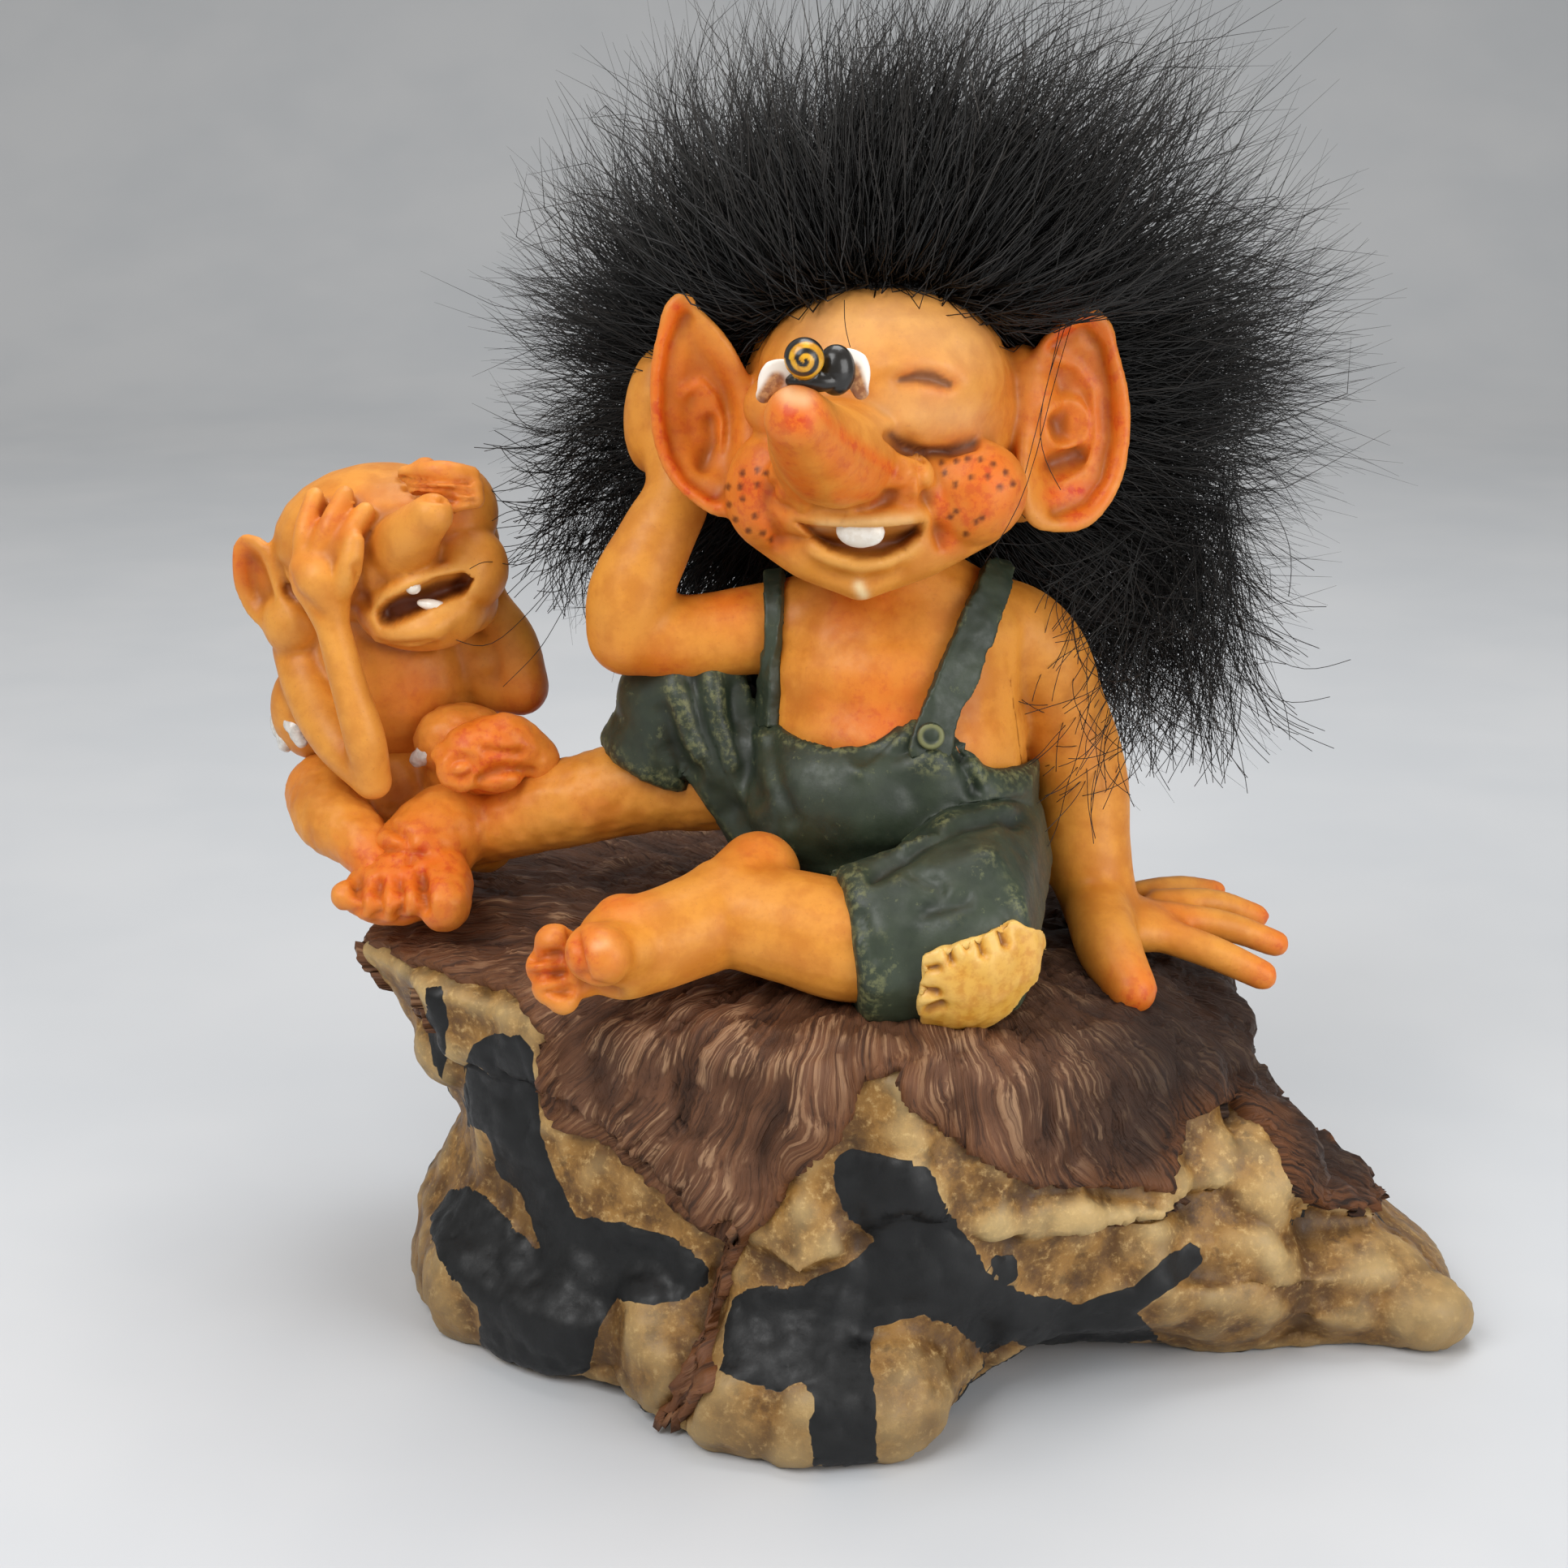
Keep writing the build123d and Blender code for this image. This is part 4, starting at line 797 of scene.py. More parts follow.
for piece, node in ((folded, "folded_leg"), (raised, "raised_leg")):
    measure_relief(piece, 12, 0.5)
    keep_spots(piece, "wash", [((-24.6, -33.0, 46.6), 3.0, 0.9), (at(742, 1185, -35), 3.0, 0.45),
                               ((-28.0, -28.6, 44.0), 4.2, 0.8),
                               ((-9.6, -20.0, 51.0), 3.6, 0.5), ((-22.0, -27.0, 49.6), 2.6, 0.7),
                               ((-16.0, -25.0, 40.8), 4.0, 0.35), ((-43.0, -6.0, 44.0), 8.0, 0.95),
                               ((-36.0, 1.0, 50.0), 4.0, 0.5), ((-26.0, -2.0, 50.0), 3.0, 0.2)])
    # Painted highlight: a pale stroke on the ball of the big toe.
    keep_spots(piece, "pale", [], [([(736, 1166), (746, 1163)], 0.5, 0.35)])
    finish_piece(piece, skin_paint, "painted_skin", node)

# %% [markdown]
# ## The dungarees
# The trousers are painted cloth, but sculpted: a smooth belly, a scooped bib, folds that run from the
# crotch, and frayed hems. The form is copied from the CAD node, filled out, and the folds are drawn on.

# %% Dungarees
trousers = cast("folded_dungarees", (
    [new_piece("shell", shell_form.data.copy())] + copied("dungarees")
    + ball((0.4, -7.6, 54.0), (11.0, 9.6, 8.0))
    + ball((-15.4, 0.4, 60.4), (7.4, 6.6, 6.2)) + ball((8.4, -23.6, 44.8), (8.0, 8.0, 7.4))
    + ball((11.6, -12.0, 46.0), (6.4, 8.0, 7.4))
), 0.42, 11)
points = points_of(trousers)
hip, waist, squeeze = 11, 54, 0.2
beyond = np.clip(points[:, 0] - hip, 0, None) * step(waist - points[:, 2], 6.0)
points[:, 0] -= squeeze * beyond
move_to(trousers, points)
bare = [(880, 600), (926, 858), (945, 868), (958, 888), (975, 903), (1000, 914), (1030, 921), (1060, 918),
        (1085, 908), (1105, 893), (1122, 884), (1172, 886), (1180, 905), (1190, 925), (1205, 940),
        (1225, 948), (1262, 940), (1330, 900), (1330, 600)]
points, normals, spots, pixel = read(trousers)
ragged = frayed(spots, points, 1, 2.0, 2.0)
skin_side = np.where(facing(points, normals) > 0.1, inside(ragged, bare) * pixel,
                     points[:, 2] - np.where(points[:, 0] > 10, 54.5, 59) + lumps(points, 3.0, 1.0))
worn_out = step(skin_side, 0.35)
swell = 0.75 - 0.15 * np.exp(-(skin_side / 1.2) ** 2) - 2.6 * worn_out
move_to(trousers, points + normals * swell[:, None])
for width, lift, lines in (
        (0.9, 0.5, [[(1060, 950), (1085, 928), (1110, 905)], [(1185, 905), (1200, 950), (1215, 1000)],
                    [(950, 1030), (1000, 1070), (1070, 1082)], [(1115, 1040), (1170, 1010), (1245, 995)],
                    [(1190, 985), (1255, 975)]]),
        (0.7, -1.0, [[(1075, 1078), (1108, 1056), (1145, 1032), (1190, 1012), (1235, 1004), (1253, 1012)],
                     [(1182, 905), (1190, 945), (1204, 975)]]),
        (0.8, -0.6, [[(1125, 1075), (1155, 1090), (1160, 1112)], [(945, 900), (955, 960), (975, 1010)],
                     [(1066, 935), (1085, 922), (1108, 890)], [(1140, 1120), (1190, 1108)],
                     [(1060, 1130), (1075, 1180)]]),
        (1.3, -1.0, [[(850, 840), (865, 900), (890, 960), (900, 1000)],
                     [(905, 850), (905, 910), (925, 980)],
                     [(815, 880), (830, 920), (850, 950)]]),
        (1.2, 0.6, [[(875, 820), (885, 880), (905, 940)], [(830, 820), (845, 880), (865, 930)]])):
    draw(trousers, lines, width, lift)
roughen(trousers, 2.6, 0.1, 13.0)
measure_relief(trousers, 12, 0.42)
finish_piece(trousers, cloth_paint, "painted_cloth", "dungarees")


# %% [markdown]
# ## Braces, button and patch
# Each is a thin strip of clay laid on the body. So its form is the body's own skin inside an outline of
# pixels, lifted off it, thickened, and melted round at its edges.

# %% Strips
def patch_of(name, target, outline, lift, thickness, cube):
    """A strip cut out of the target's own skin, inside an outline of pixels, lifted and thickened."""
    piece = new_piece(name, target.data.copy())
    points, normals, spots, pixel = read(piece)
    keep_face = (inside(spots, outline) > 0) & (facing(points, normals) > 0)
    pick(piece)
    piece.data.vertices.foreach_set("select", ~keep_face)
    bpy.ops.object.mode_set(mode="EDIT")
    bpy.ops.mesh.select_mode(type="VERT")
    bpy.ops.mesh.delete(type="VERT")
    bpy.ops.object.mode_set(mode="OBJECT")
    apply(piece, "SMOOTH", factor=0.5, iterations=20)
    move_to(piece, points_of(piece) + normals_of(piece) * lift)
    apply(piece, "SOLIDIFY", thickness=thickness * MM, offset=0.0)
    return cast(name, [piece], cube, 4)


left_brace = patch_of("left_strap", whole_form, [(938, 676), (974, 676), (972, 758), (965, 824), (963, 904),
                      (928, 904), (930, 837), (935, 771)], 0.6, 1.3, 0.2)
right_brace = patch_of("right_strap", whole_form, [(1200, 702), (1250, 702), (1231, 762), (1207, 824),
                       (1187, 870), (1179, 894), (1168, 940), (1109, 938), (1113, 908), (1136, 848),
                       (1168, 774)], 1.0, 1.6, 0.2)
for piece, node in ((left_brace, "left_brace"), (right_brace, "right_brace")):
    roughen(piece, 2.0, 0.12, 4.0)
    measure_relief(piece, 10, 0.25)
    finish_piece(piece, cloth_paint, "painted_cloth", node)

# %% Button
middle = at(1147, 907, on_skin(right_brace, 1147, 907)[1] - 0.3)
bpy.ops.mesh.primitive_torus_add(major_segments=32, minor_segments=12, major_radius=0.95 * MM,
                                 minor_radius=0.36 * MM, location=Vector(middle) * MM,
                                 rotation=(radians(74), 0, 0))
ring = [bpy.context.object]
button = cast("ring_button", ring + ball(middle, (0.9, 0.4, 0.9)), 0.12, 3)
measure_relief(button, 6, 0.12)
points = points_of(button)
off_ring = np.abs(np.linalg.norm(points - middle, axis=1) - 1.05)
keep(button, "rim", step(0.2 - off_ring, 0.15) * (points[:, 1] < middle[1]))
finish_piece(button, cloth_paint, "painted_cloth", "brace_button")

# %% Patch
patch = patch_of("sewn_patch", trousers, [
    (1133, 1166), (1169, 1156), (1208, 1143), (1250, 1118), (1275, 1140), (1282, 1180), (1266, 1216),
    (1240, 1244), (1202, 1262), (1156, 1264), (1124, 1255), (1129, 1212)], 0.35, 1.1, 0.25)
draw(patch, [[(1164, 1157), (1172, 1184)], [(1202, 1144), (1212, 1176)], [(1233, 1133), (1240, 1163)],
             [(1130, 1198), (1154, 1193)], [(1130, 1222), (1153, 1225)], [(1140, 1246), (1160, 1240)],
             [(1186, 1151), (1192, 1168)]], 0.4, -0.8)
roughen(patch, 2.5, 0.18, 8.0)
measure_relief(patch, 8, 0.18)
finish_piece(patch, patch_paint, "painted_patch", "knee_patch")
bpy.data.objects.remove(shell_form)
bpy.data.objects.remove(whole_form)

# %% [markdown]
# ## The head
# A smiling face that looks up: a round skull, a small jaw with a pointed chin, full cheeks, lids shut
# over bulging eyes, and the long upturned nose that trolls are known for. The ears are thin cups.

# %% Ear
def ear(outline, bowl, edge, depth, thickness):
    """A thin cup: the outline in pixels at depths y, drawn in rings towards its bowl, then thickened."""
    bpy.ops.mesh.primitive_circle_add(vertices=len(outline), radius=1, fill_type="NOTHING")
    piece = bpy.context.object
    rim = np.array([at(*corner) for corner in outline])
    move_to(piece, rim)
    centre = np.array(at(*bowl))
    bpy.ops.object.mode_set(mode="EDIT")
    bpy.ops.mesh.select_all(action="SELECT")
    for size, back in ((0.82, edge), (0.75, depth * 0.55), (0.6, depth * 0.35), (0.4, depth * 0.1)):
        bpy.ops.mesh.extrude_edges_move()
        bpy.ops.transform.resize(value=(size, size, size), center_override=Vector(centre) * MM)
        bpy.ops.transform.translate(value=(0, back * MM, 0))
    bpy.ops.mesh.merge(type="CENTER")
    bpy.ops.mesh.select_all(action="SELECT")
    bpy.ops.mesh.normals_make_consistent(inside=False)
    bpy.ops.object.mode_set(mode="OBJECT")
    apply(piece, "SUBSURF", levels=2, render_levels=2)
    apply(piece, "SOLIDIFY", thickness=thickness * MM, offset=0.0)
    return [piece] + tube([tuple(corner) for corner in rim] + [tuple(rim[0])],
                          [thickness * 0.55] * (len(rim) + 1))


left_ear = ear([(918, 470, -6), (888, 418, -6.4), (858, 386, -6.6), (841, 368, -6.8), (829, 376, -6.9),
                (818, 410, -7), (809, 458, -7.4), (809, 508, -7.8), (815, 550, -8.2), (832, 587, -9),
                (858, 612, -10), (888, 629, -10.5), (908, 624, -10), (920, 590, -9), (925, 530, -7)],
               (876, 530, -6.8), 0.6, 2.6, 1.2)
right_ear = ear([(1270, 470, -2), (1280, 436, -2), (1306, 406, -1.8), (1338, 386, -1.4), (1357, 394, -1.1),
                 (1371, 436, -1), (1384, 493, -1.4), (1384, 543, -2), (1376, 587, -2.6), (1358, 622, -3.6),
                 (1336, 643, -4.4), (1304, 648, -5.2), (1274, 640, -6), (1262, 600, -6), (1262, 530, -4)],
                (1313, 530, -3.0), 0.6, 2.6, 1.2)

# %% Head form
head = cast("boy_head", (
    ball((1.9, -1.2, 90.0), (13.0, 13.4, 12.6)) + ball((2.0, -6.0, 93.0), (11.6, 9.6, 8.8))
    + ball((1.2, -7.4, 83.0), (11.4, 9.0, 6.4)) + ball((0.8, -10.0, 79.4), (6.8, 5.8, 4.4))
    + tube([(-8.2, -8.8, 81.0), (-4.2, -11.2, 78.4), (0.0, -13.2, 76.2)], [3.6, 3.4, 2.5])
    + tube([(10.6, -8.6, 81.2), (5.2, -11.2, 78.6), (0.0, -13.2, 76.2)], [3.6, 3.4, 2.5])
    + ball((-8.2, -11.2, 83.8), (4.2, 4.4, 5.6), (0, 10, 0))
    + ball((10.2, -11.2, 83.4), (5.2, 4.2, 4.9), (0, -16, 0))
    + ball((6.4, -10.4, 91.0), (4.4, 3.0, 2.8)) + ball((-6.6, -10.9, 91.2), (4.2, 3.6, 3.3))
    + tube([(-5.6, -14.2, 82.2), (-0.2, -15.8, 82.0), (5.4, -13.8, 82.4)], [2.1, 2.3, 2.0])
    + tube([(-3.6, -14.0, 78.8), (0.2, -15.0, 78.0), (4.4, -13.4, 79.0)], [1.4, 1.6, 1.4])
    + tube([(-1.4, -13.0, 87.4), (-2.2, -17.2, 87.8), (-3.6, -21.8, 89.2), (-5.0, -26.2, 91.4),
            (-5.9, -29.0, 93.2)], [5.6, 5.0, 4.3, 3.5, 2.9])
    + tube([at(1014, 580, -15.5), at(998, 546, -20.5), at(986, 520, -25)], [4.2, 3.8, 3.0])
    + ball(at(1258, 535, -0.4), (4.0, 4.0, 8.6)) + ball((3.8, -15.4, 85.7), (2.8, 2.7, 2.3))
    + ball((-6.0, -15.8, 85.6), (2.6, 2.6, 2.4))
    + left_ear + right_ear
), 0.32, 10)
print("head", len(head.data.vertices), "points")

# %% Face
mouth = [(983, 643), (1010, 648), (1040, 650), (1070, 650), (1100, 649), (1136, 644), (1133, 657),
         (1115, 675), (1086, 687), (1057, 689), (1022, 678), (1000, 661)]
press(head, mouth, 0.35, (0, 2.4, -0.3), (-40, -8))
front = (-40, -6)
eye = [(1098, 536), (1112, 549), (1135, 557), (1167, 556), (1200, 546)]
brow = [(1110, 468), (1130, 464), (1150, 466), (1170, 474)]
draw(head, [eye], 0.5, -0.9, front)
draw(head, [brow], 0.7, -0.6, front)
draw(head, [[(1104, 450), (1135, 442), (1168, 452), (1188, 470)], [(1110, 520), (1145, 535), (1190, 528)]],
     1.1, 0.35, front)
draw(head, [[(1132, 562), (1138, 600), (1150, 640), (1160, 672)], [(948, 600), (944, 630), (958, 665)],
            [(1000, 630), (1040, 636), (1075, 628), (1100, 614)], [(1095, 612), (1118, 606), (1130, 590)]],
     0.6, -0.6, front)
draw(head, [[(985, 636), (1025, 641), (1070, 642), (1138, 637)],
            [(995, 672), (1022, 692), (1057, 701), (1095, 697),
            (1130, 672)]], 0.8, 0.35, front)
draw(head, [[(1010, 706), (1065, 716), (1110, 704)]], 1.0, -0.3, front)
left_rim = [(846, 392), (832, 425), (826, 465), (826, 510), (834, 555), (852, 588), (880, 608)]
right_rim = [(1300, 428), (1335, 408), (1352, 430), (1363, 480), (1365, 540), (1355, 588), (1335, 616),
             (1302, 630)]
concha = [(1313 + 27 * cos(turn), 524 + 30 * sin(turn)) for turn in np.linspace(0, 2 * pi, 13)]
draw(head, [left_rim, right_rim], 0.7, -0.6, (-14, 4))
draw(head, [[(844, 482), (862, 474), (878, 490), (888, 520), (886, 548)], concha,
            [(1300, 440), (1325, 450), (1345, 480), (1348, 540), (1335, 580), (1310, 596)]], 0.6, 0.5,
            (-14, 4))
draw(head, [[(874, 520), (876, 545), (868, 570)], [(1306, 520), (1310, 532)], [(1330, 560), (1300, 572)]],
     0.9, -0.9, (-14, 4))
points = points_of(head)
spots, pixel = sight(points)
measure_relief(head, 16, 0.5)
freckles = [(1160, 570), (1178, 568), (1192, 565), (1208, 566), (1224, 572), (1239, 582), (1164, 583),
            (1177, 597), (1196, 588), (1217, 587), (1232, 600), (1248, 596), (1171, 637), (1178, 630),
            (1203, 643), (1210, 638), (1190, 658), (915, 583), (933, 579), (912, 600), (933, 597),
            (915, 615), (897, 600), (898, 622), (930, 636), (922, 654), (940, 657), (950, 665), (906, 640),
            (944, 583)]
dots = np.max([step(0.28 - np.linalg.norm(spots - dot, axis=1) * pixel, 0.14) for dot in freckles], axis=0)
almond = 0.24 + 0.5 * np.exp(-((spots[:, 0] - 1143) / 22) ** 2)
creases = np.maximum(np.exp(-(near_path(spots, eye) * pixel / 0.42) ** 2),
                     0.85 * np.exp(-(near_path(spots, brow) * pixel / almond) ** 4))
inner = 0.45 * step(inside(spots, mouth) * pixel - 0.2, 0.5)
keep(head, "dark", np.maximum(np.maximum(0.85 * dots, 0.9 * creases), inner) * (points[:, 1] < -5))
keep_spots(head, "wash", [((-6.0, -31.0, 94.0), 3.2, 1.0), ((-9.4, -14.4, 84.0), 4.6, 0.85),
                          ((11.4, -14.4, 84.6), 5.0, 0.85), ((5.0, -19.0, 86.4), 3.4, 0.5),
                          ((22.0, -3.0, 90.0), 10.0, 0.65), ((21.0, -6.0, 83.0), 3.4, 1.0),
                          ((-15.0, -8.0, 90.0), 8.0, 0.55), ((6.6, -14.6, 94.0), 2.2, 0.4)],
           [([(836, 380), (818, 420), (810, 480), (816, 550), (845, 604), (885, 622)], 1.1, 0.9),
            ([(842, 480), (866, 476), (884, 500), (888, 545)], 0.9, 0.7),
            ([(1290, 425), (1340, 392), (1362, 410), (1380, 490), (1380, 560), (1358, 615), (1320, 640)],
             1.2, 0.8),
            ([(1300, 610), (1345, 604)], 1.4, 1.0),
            ([(1310, 440), (1345, 470), (1340, 560), (1305, 590)], 0.9, 0.7),
            ([(1290, 470), (1285, 540), (1295, 590)], 1.2, 0.5), (concha, 0.8, 0.6),
            ([(955, 520), (965, 565), (990, 605)], 1.6, 0.75),
            ([(1010, 540), (1050, 585), (1115, 600)], 2.2, 0.6),
            ([(1000, 500), (1040, 540), (1100, 580)], 0.8, 0.8), ([(1035, 610), (1100, 612)], 1.0, 0.7),
            ([(1160, 610), (1168, 665)], 1.2, 0.9), ([(1180, 620), (1196, 650)], 1.0, 0.7),
            ([(925, 600), (935, 640), (958, 662)], 1.3, 0.8), ([(960, 610), (950, 640)], 1.2, 0.6),
            ([(1125, 455), (1175, 462)], 1.2, 0.35)])
# Pale strokes: a paint chip on the chin, and painted highlights on the forehead, the nose tip, the upper
# lip and the eyelid.
keep_spots(head, "pale", [], [([(1020, 400), (1100, 392), (1180, 420)], 3.6, 0.22),
                              ([(1058, 722), (1064, 734)], 0.5, 1.0),
                             ([(970, 486), (990, 492)], 0.8, 0.6),
                             ([(1010, 648), (1060, 644), (1120, 643)], 0.5, 0.35),
                             ([(1100, 500), (1190, 515)], 2.2, 0.2)])
finish_piece(head, skin_paint, "painted_skin", "head")

# %% Tooth
tooth = cast("gap_tooth", ball(at(1058, 655, -16.6), (2.1, 0.9, 1.5), (0, 8, 0))
             + ball(at(1070, 656, -16.6), (1.5, 0.9, 1.3)), 0.16, 3)
measure_relief(tooth, 6, 0.1)
finish_piece(tooth, tooth_paint, "painted_tooth", "front_tooth")

# %% [markdown]
# ## The bee
# It sits on the nose with its round tail towards the viewer, two drooping wings and a dark body.

# %% Bee
bee = cast("bee", ball(at(991, 441, -29.4), (1.75, 1.7, 1.75)) + ball(at(1030, 456, -27.4), (1.7, 1.6, 2.2))
           + ball(at(1003, 469, -28.0), (2.5, 1.4, 1.0)), 0.14, 4)
points = points_of(bee)
tail = np.array(at(991, 441, -29.4))
gap = points - tail
bands = np.hypot(gap[:, 0], gap[:, 2]) + 0.12 * np.arctan2(gap[:, 2], gap[:, 0])
stripes = step(np.sin(bands * 7.2 + 0.6), 0.4)
stripes = np.where(np.linalg.norm(gap, axis=1) > 2.0, 1.0, stripes)
keep(bee, "dark", stripes)
measure_relief(bee, 6, 0.15)
finish_piece(bee, bee_paint, "painted_bee", "bee_body")
for name, path in (("bee_wing_left", [(984, 456, -27.6), (957, 464, -27.8), (941, 488, -28.4)]),
                   ("bee_wing_right", [(1026, 438, -27.0), (1050, 452, -27.2), (1061, 484, -28.0)])):
    places = [np.array(at(*place)) for place in path]
    wing = cast("painted_" + name, tube(places, [0.8, 1.5, 0.7]), 0.14, 3)
    points = points_of(wing)
    middle = points.mean(axis=0)
    points[:, 1] = middle[1] + (points[:, 1] - middle[1]) * 0.3
    move_to(wing, points)
    spots, pixel = sight(points)
    middle_line = [(place[0], place[1] + 5) for place in path[1:]]
    keep(wing, "rim", step(near_path(spots, middle_line) * pixel - 0.75, 0.3))
    finish_piece(wing, wing_paint, "painted_wing", name)

# %% [markdown]
# ## The little troll
# It hides its eyes behind its hands and sits behind the boy's foot. Its upper body is a casting of its
# own: white beads of glue show at the waist.

# %% Little troll's body
little = cast("little_troll_body", (
    ball((-47.4, 13.6, 59.6), (9.6, 7.6, 9.4)) + ball((-47.2, 12.4, 73.4), (11.2, 10.2, 8.2))
    + tube([(-44.8, 5.8, 73.6), (-43.0, 1.6, 76.6), (-40.6, -0.8, 79.2)], [3.8, 2.9, 2.1])
    + ball((-42.8, 5.6, 68.4), (6.6, 4.8, 4.2))
    + tube([at(467, 742, 3.2), at(510, 722, 1.6), at(575, 700, 3.4)], [1.1, 1.2, 1.2])
    + tube([at(470, 780, 3.2), at(520, 778, 1.4), at(570, 750, 3.4)], [1.1, 1.4, 1.3])
    + ball(at(560, 632, 9), (4.4, 4.6, 5.0)) + ball(at(562, 690, 7), (3.8, 3.8, 4.0))
    + ball(at(575, 740, 8), (3.2, 3.6, 3.4))
    + tube([(-47.3, 13.4, 73.0), (-47.4, 13.8, 62.0)], [7.0, 7.4])
    + ball(at(386, 872, 12.5), (4.4, 4.0, 5.4))
    + tube([at(372, 800, 12), at(384, 850, 9), at(415, 912, 4), at(458, 962, 0.6)], [3.0, 2.8, 2.5, 1.9])
    + tube([at(460, 962, 0.4), at(449, 910, -0.4), at(427, 835, 0.4), at(409, 768, 1.6)],
           [1.9, 2.1, 1.8, 1.7])
    + tube([at(409, 768, 1.6), at(397, 715, 2.4)], [1.8, 3.1]) + ball(at(396, 705, 2.4), (3.3, 1.7, 2.9))
    + tube([at(374, 690, 3.0), at(376, 655, 3.4), at(388, 612, 5.4)], [1.15, 1.15, 1.0])
    + tube([at(392, 685, 2.2), at(406, 648, 2.6), at(425, 610, 4.6)], [1.15, 1.15, 1.0])
    + tube([at(410, 690, 1.8), at(430, 660, 2.0), at(450, 630, 3.4)], [1.15, 1.15, 1.0])
    + tube([at(420, 725, 1.2), at(430, 700, 0.4), at(436, 668, 0.8)], [1.3, 1.3, 1.1])
    + tube([at(570, 800, 13.0), at(612, 842, 12.6), at(642, 848, 12.0)], [3.2, 3.0, 2.8])
    + tube([at(642, 846, 12.0), at(630, 792, 12.6), at(598, 735, 14.0), at(588, 660, 13.0)],
           [2.9, 2.7, 2.2, 2.2])
    + ball(at(566, 600, 6.4), (2.2, 1.8, 2.2))
    + tube([at(580, 586, 4.0), at(545, 580, 3.0), at(500, 584, 4.6)], [1.0, 1.05, 0.9])
    + tube([at(584, 600, 3.4), at(550, 598, 2.4), at(512, 600, 3.4)], [1.0, 1.05, 0.9])
    + tube([at(586, 615, 3.0), at(572, 616, 2.2), at(560, 622, 2.2)], [1.0, 1.0, 0.9])
    + ball(at(524, 574, 4.6), (1.2, 1.2, 0.9)) + ball(at(580, 700, 6), (3.8, 4.0, 4.2))
    + ball(at(362, 765, 11), (3.2, 3.5, 3.6)) + ball(at(596, 812, 12.6), (3.0, 3.0, 3.2))
    + ear([(345, 735, 9), (330, 680, 10), (312, 665, 11), (298, 667, 12), (292, 690, 12), (300, 735, 12),
           (318, 762, 11), (345, 778, 9), (362, 772, 8)], (330, 720, 11), 0.4, 1.4, 1.0)
), 0.38, 4)
little_mouth = [(463, 755), (478, 741), (505, 728), (538, 713), (569, 708), (580, 716), (572, 731),
                (538, 745), (512, 758), (481, 771), (468, 771)]
press(little, little_mouth, 0.3, (0.4, 2.4, 0), (-10, 9))
draw(little, [[(494, 590), (580, 594)], [(500, 601), (582, 607)], [(512, 611), (584, 619)]], 0.28, -0.6,
     (-10, 14))
draw(little, [[(345, 700), (360, 730), (395, 760)], [(440, 700), (445, 725), (452, 745)],
              [(450, 790), (480, 800), (530, 795)]], 0.6, -0.4, (-10, 14))
points = points_of(little)
spots, pixel = sight(points)
measure_relief(little, 12, 0.4)
keep(little, "dark", 0.8 * step(inside(spots, little_mouth) * pixel - 0.2, 0.3) * (points[:, 1] < 9))
keep_spots(little, "wash", [(at(400, 640, 3), 4.0, 0.5), (at(540, 600, 3), 4.4, 0.55),
                            (at(655, 855, 12), 3.4, 0.95),
                            (at(300, 690, 12), 3.0, 0.7), (at(550, 640, 1), 2.6, 0.4),
                            (at(510, 860, 5), 5.0, 0.4), (at(380, 700, 3), 2.6, 0.5)])
finish_piece(little, skin_paint, "painted_skin", "little_body")

# %% Little troll's legs
little_legs = cast("little_troll_legs", (
    ball((-47.4, 13.6, 47.0), (10.2, 8.6, 7.2))
    + tube([(-53.6, 9.6, 48.0), (-52.2, 4.0, 47.2), (-48.8, -0.2, 46.0), (-46.8, -3.0, 44.0)],
           [4.4, 3.8, 3.0, 2.4])
    + tube([(-41.0, 10.0, 50.0), (-38.6, 5.6, 52.2), (-36.0, 1.6, 53.8)], [4.0, 3.4, 3.2])
    + ball(at(568, 948, -1.6), (2.5, 1.6, 2.3))
    + tube([at(580, 925, 0.0), at(625, 915, 1.0), at(662, 935, 2.0)],
                                                          [2.8, 3.0, 2.3])
    + ball(at(570, 912, 6), (5.0, 4.0, 3.8)) + ball(at(610, 955, -0.4), (2.8, 1.8, 1.8))
    + ball(at(548, 930, -0.4), (1.4, 1.3, 1.3))
), 0.32, 7)
pad = [(568 + 16 * cos(turn), 948 + 14 * sin(turn)) for turn in np.linspace(0, 2 * pi, 11)]
draw(little_legs, [pad, [(590, 960), (620, 948), (655, 950)], [(600, 925), (640, 930)]], 0.5, -0.5,
     (-10, 8))
roughen(little_legs, 1.4, 0.14, 6.0)
measure_relief(little_legs, 12, 0.4)
keep_spots(little_legs, "wash", [(at(470, 1080, -7), 6.4, 0.95), (at(600, 930, 0), 6.0, 0.95),
                                 (at(540, 1010, -3), 4.4, 0.7), (at(360, 960, 8), 4.0, 0.3)])
finish_piece(little_legs, skin_paint, "painted_skin", "little_legs")
little_tooth = cast("little_troll_tooth", ball(at(509, 724, 1.2), (0.8, 0.6, 0.7))
                    + ball(at(534, 746, 2.2), (1.7, 0.7, 0.6),
                    (0, 12, 0)), 0.14, 3)
measure_relief(little_tooth, 6, 0.1)
finish_piece(little_tooth, tooth_paint, "painted_tooth", "little_tooth")

# %% [markdown]
# ## The wig
# The hair is a strip of goat hide with its fur on, glued round the back of the skull, brushed up and
# out. Each strand is a thin three-sided sliver that starts on the hide and bends under its weight. They
# are grown in tufts from a fixed seed, out to the skin of the CAD node's fur, which has the outline of
# the photograph. Strands that would cross the face or the ears are left out.

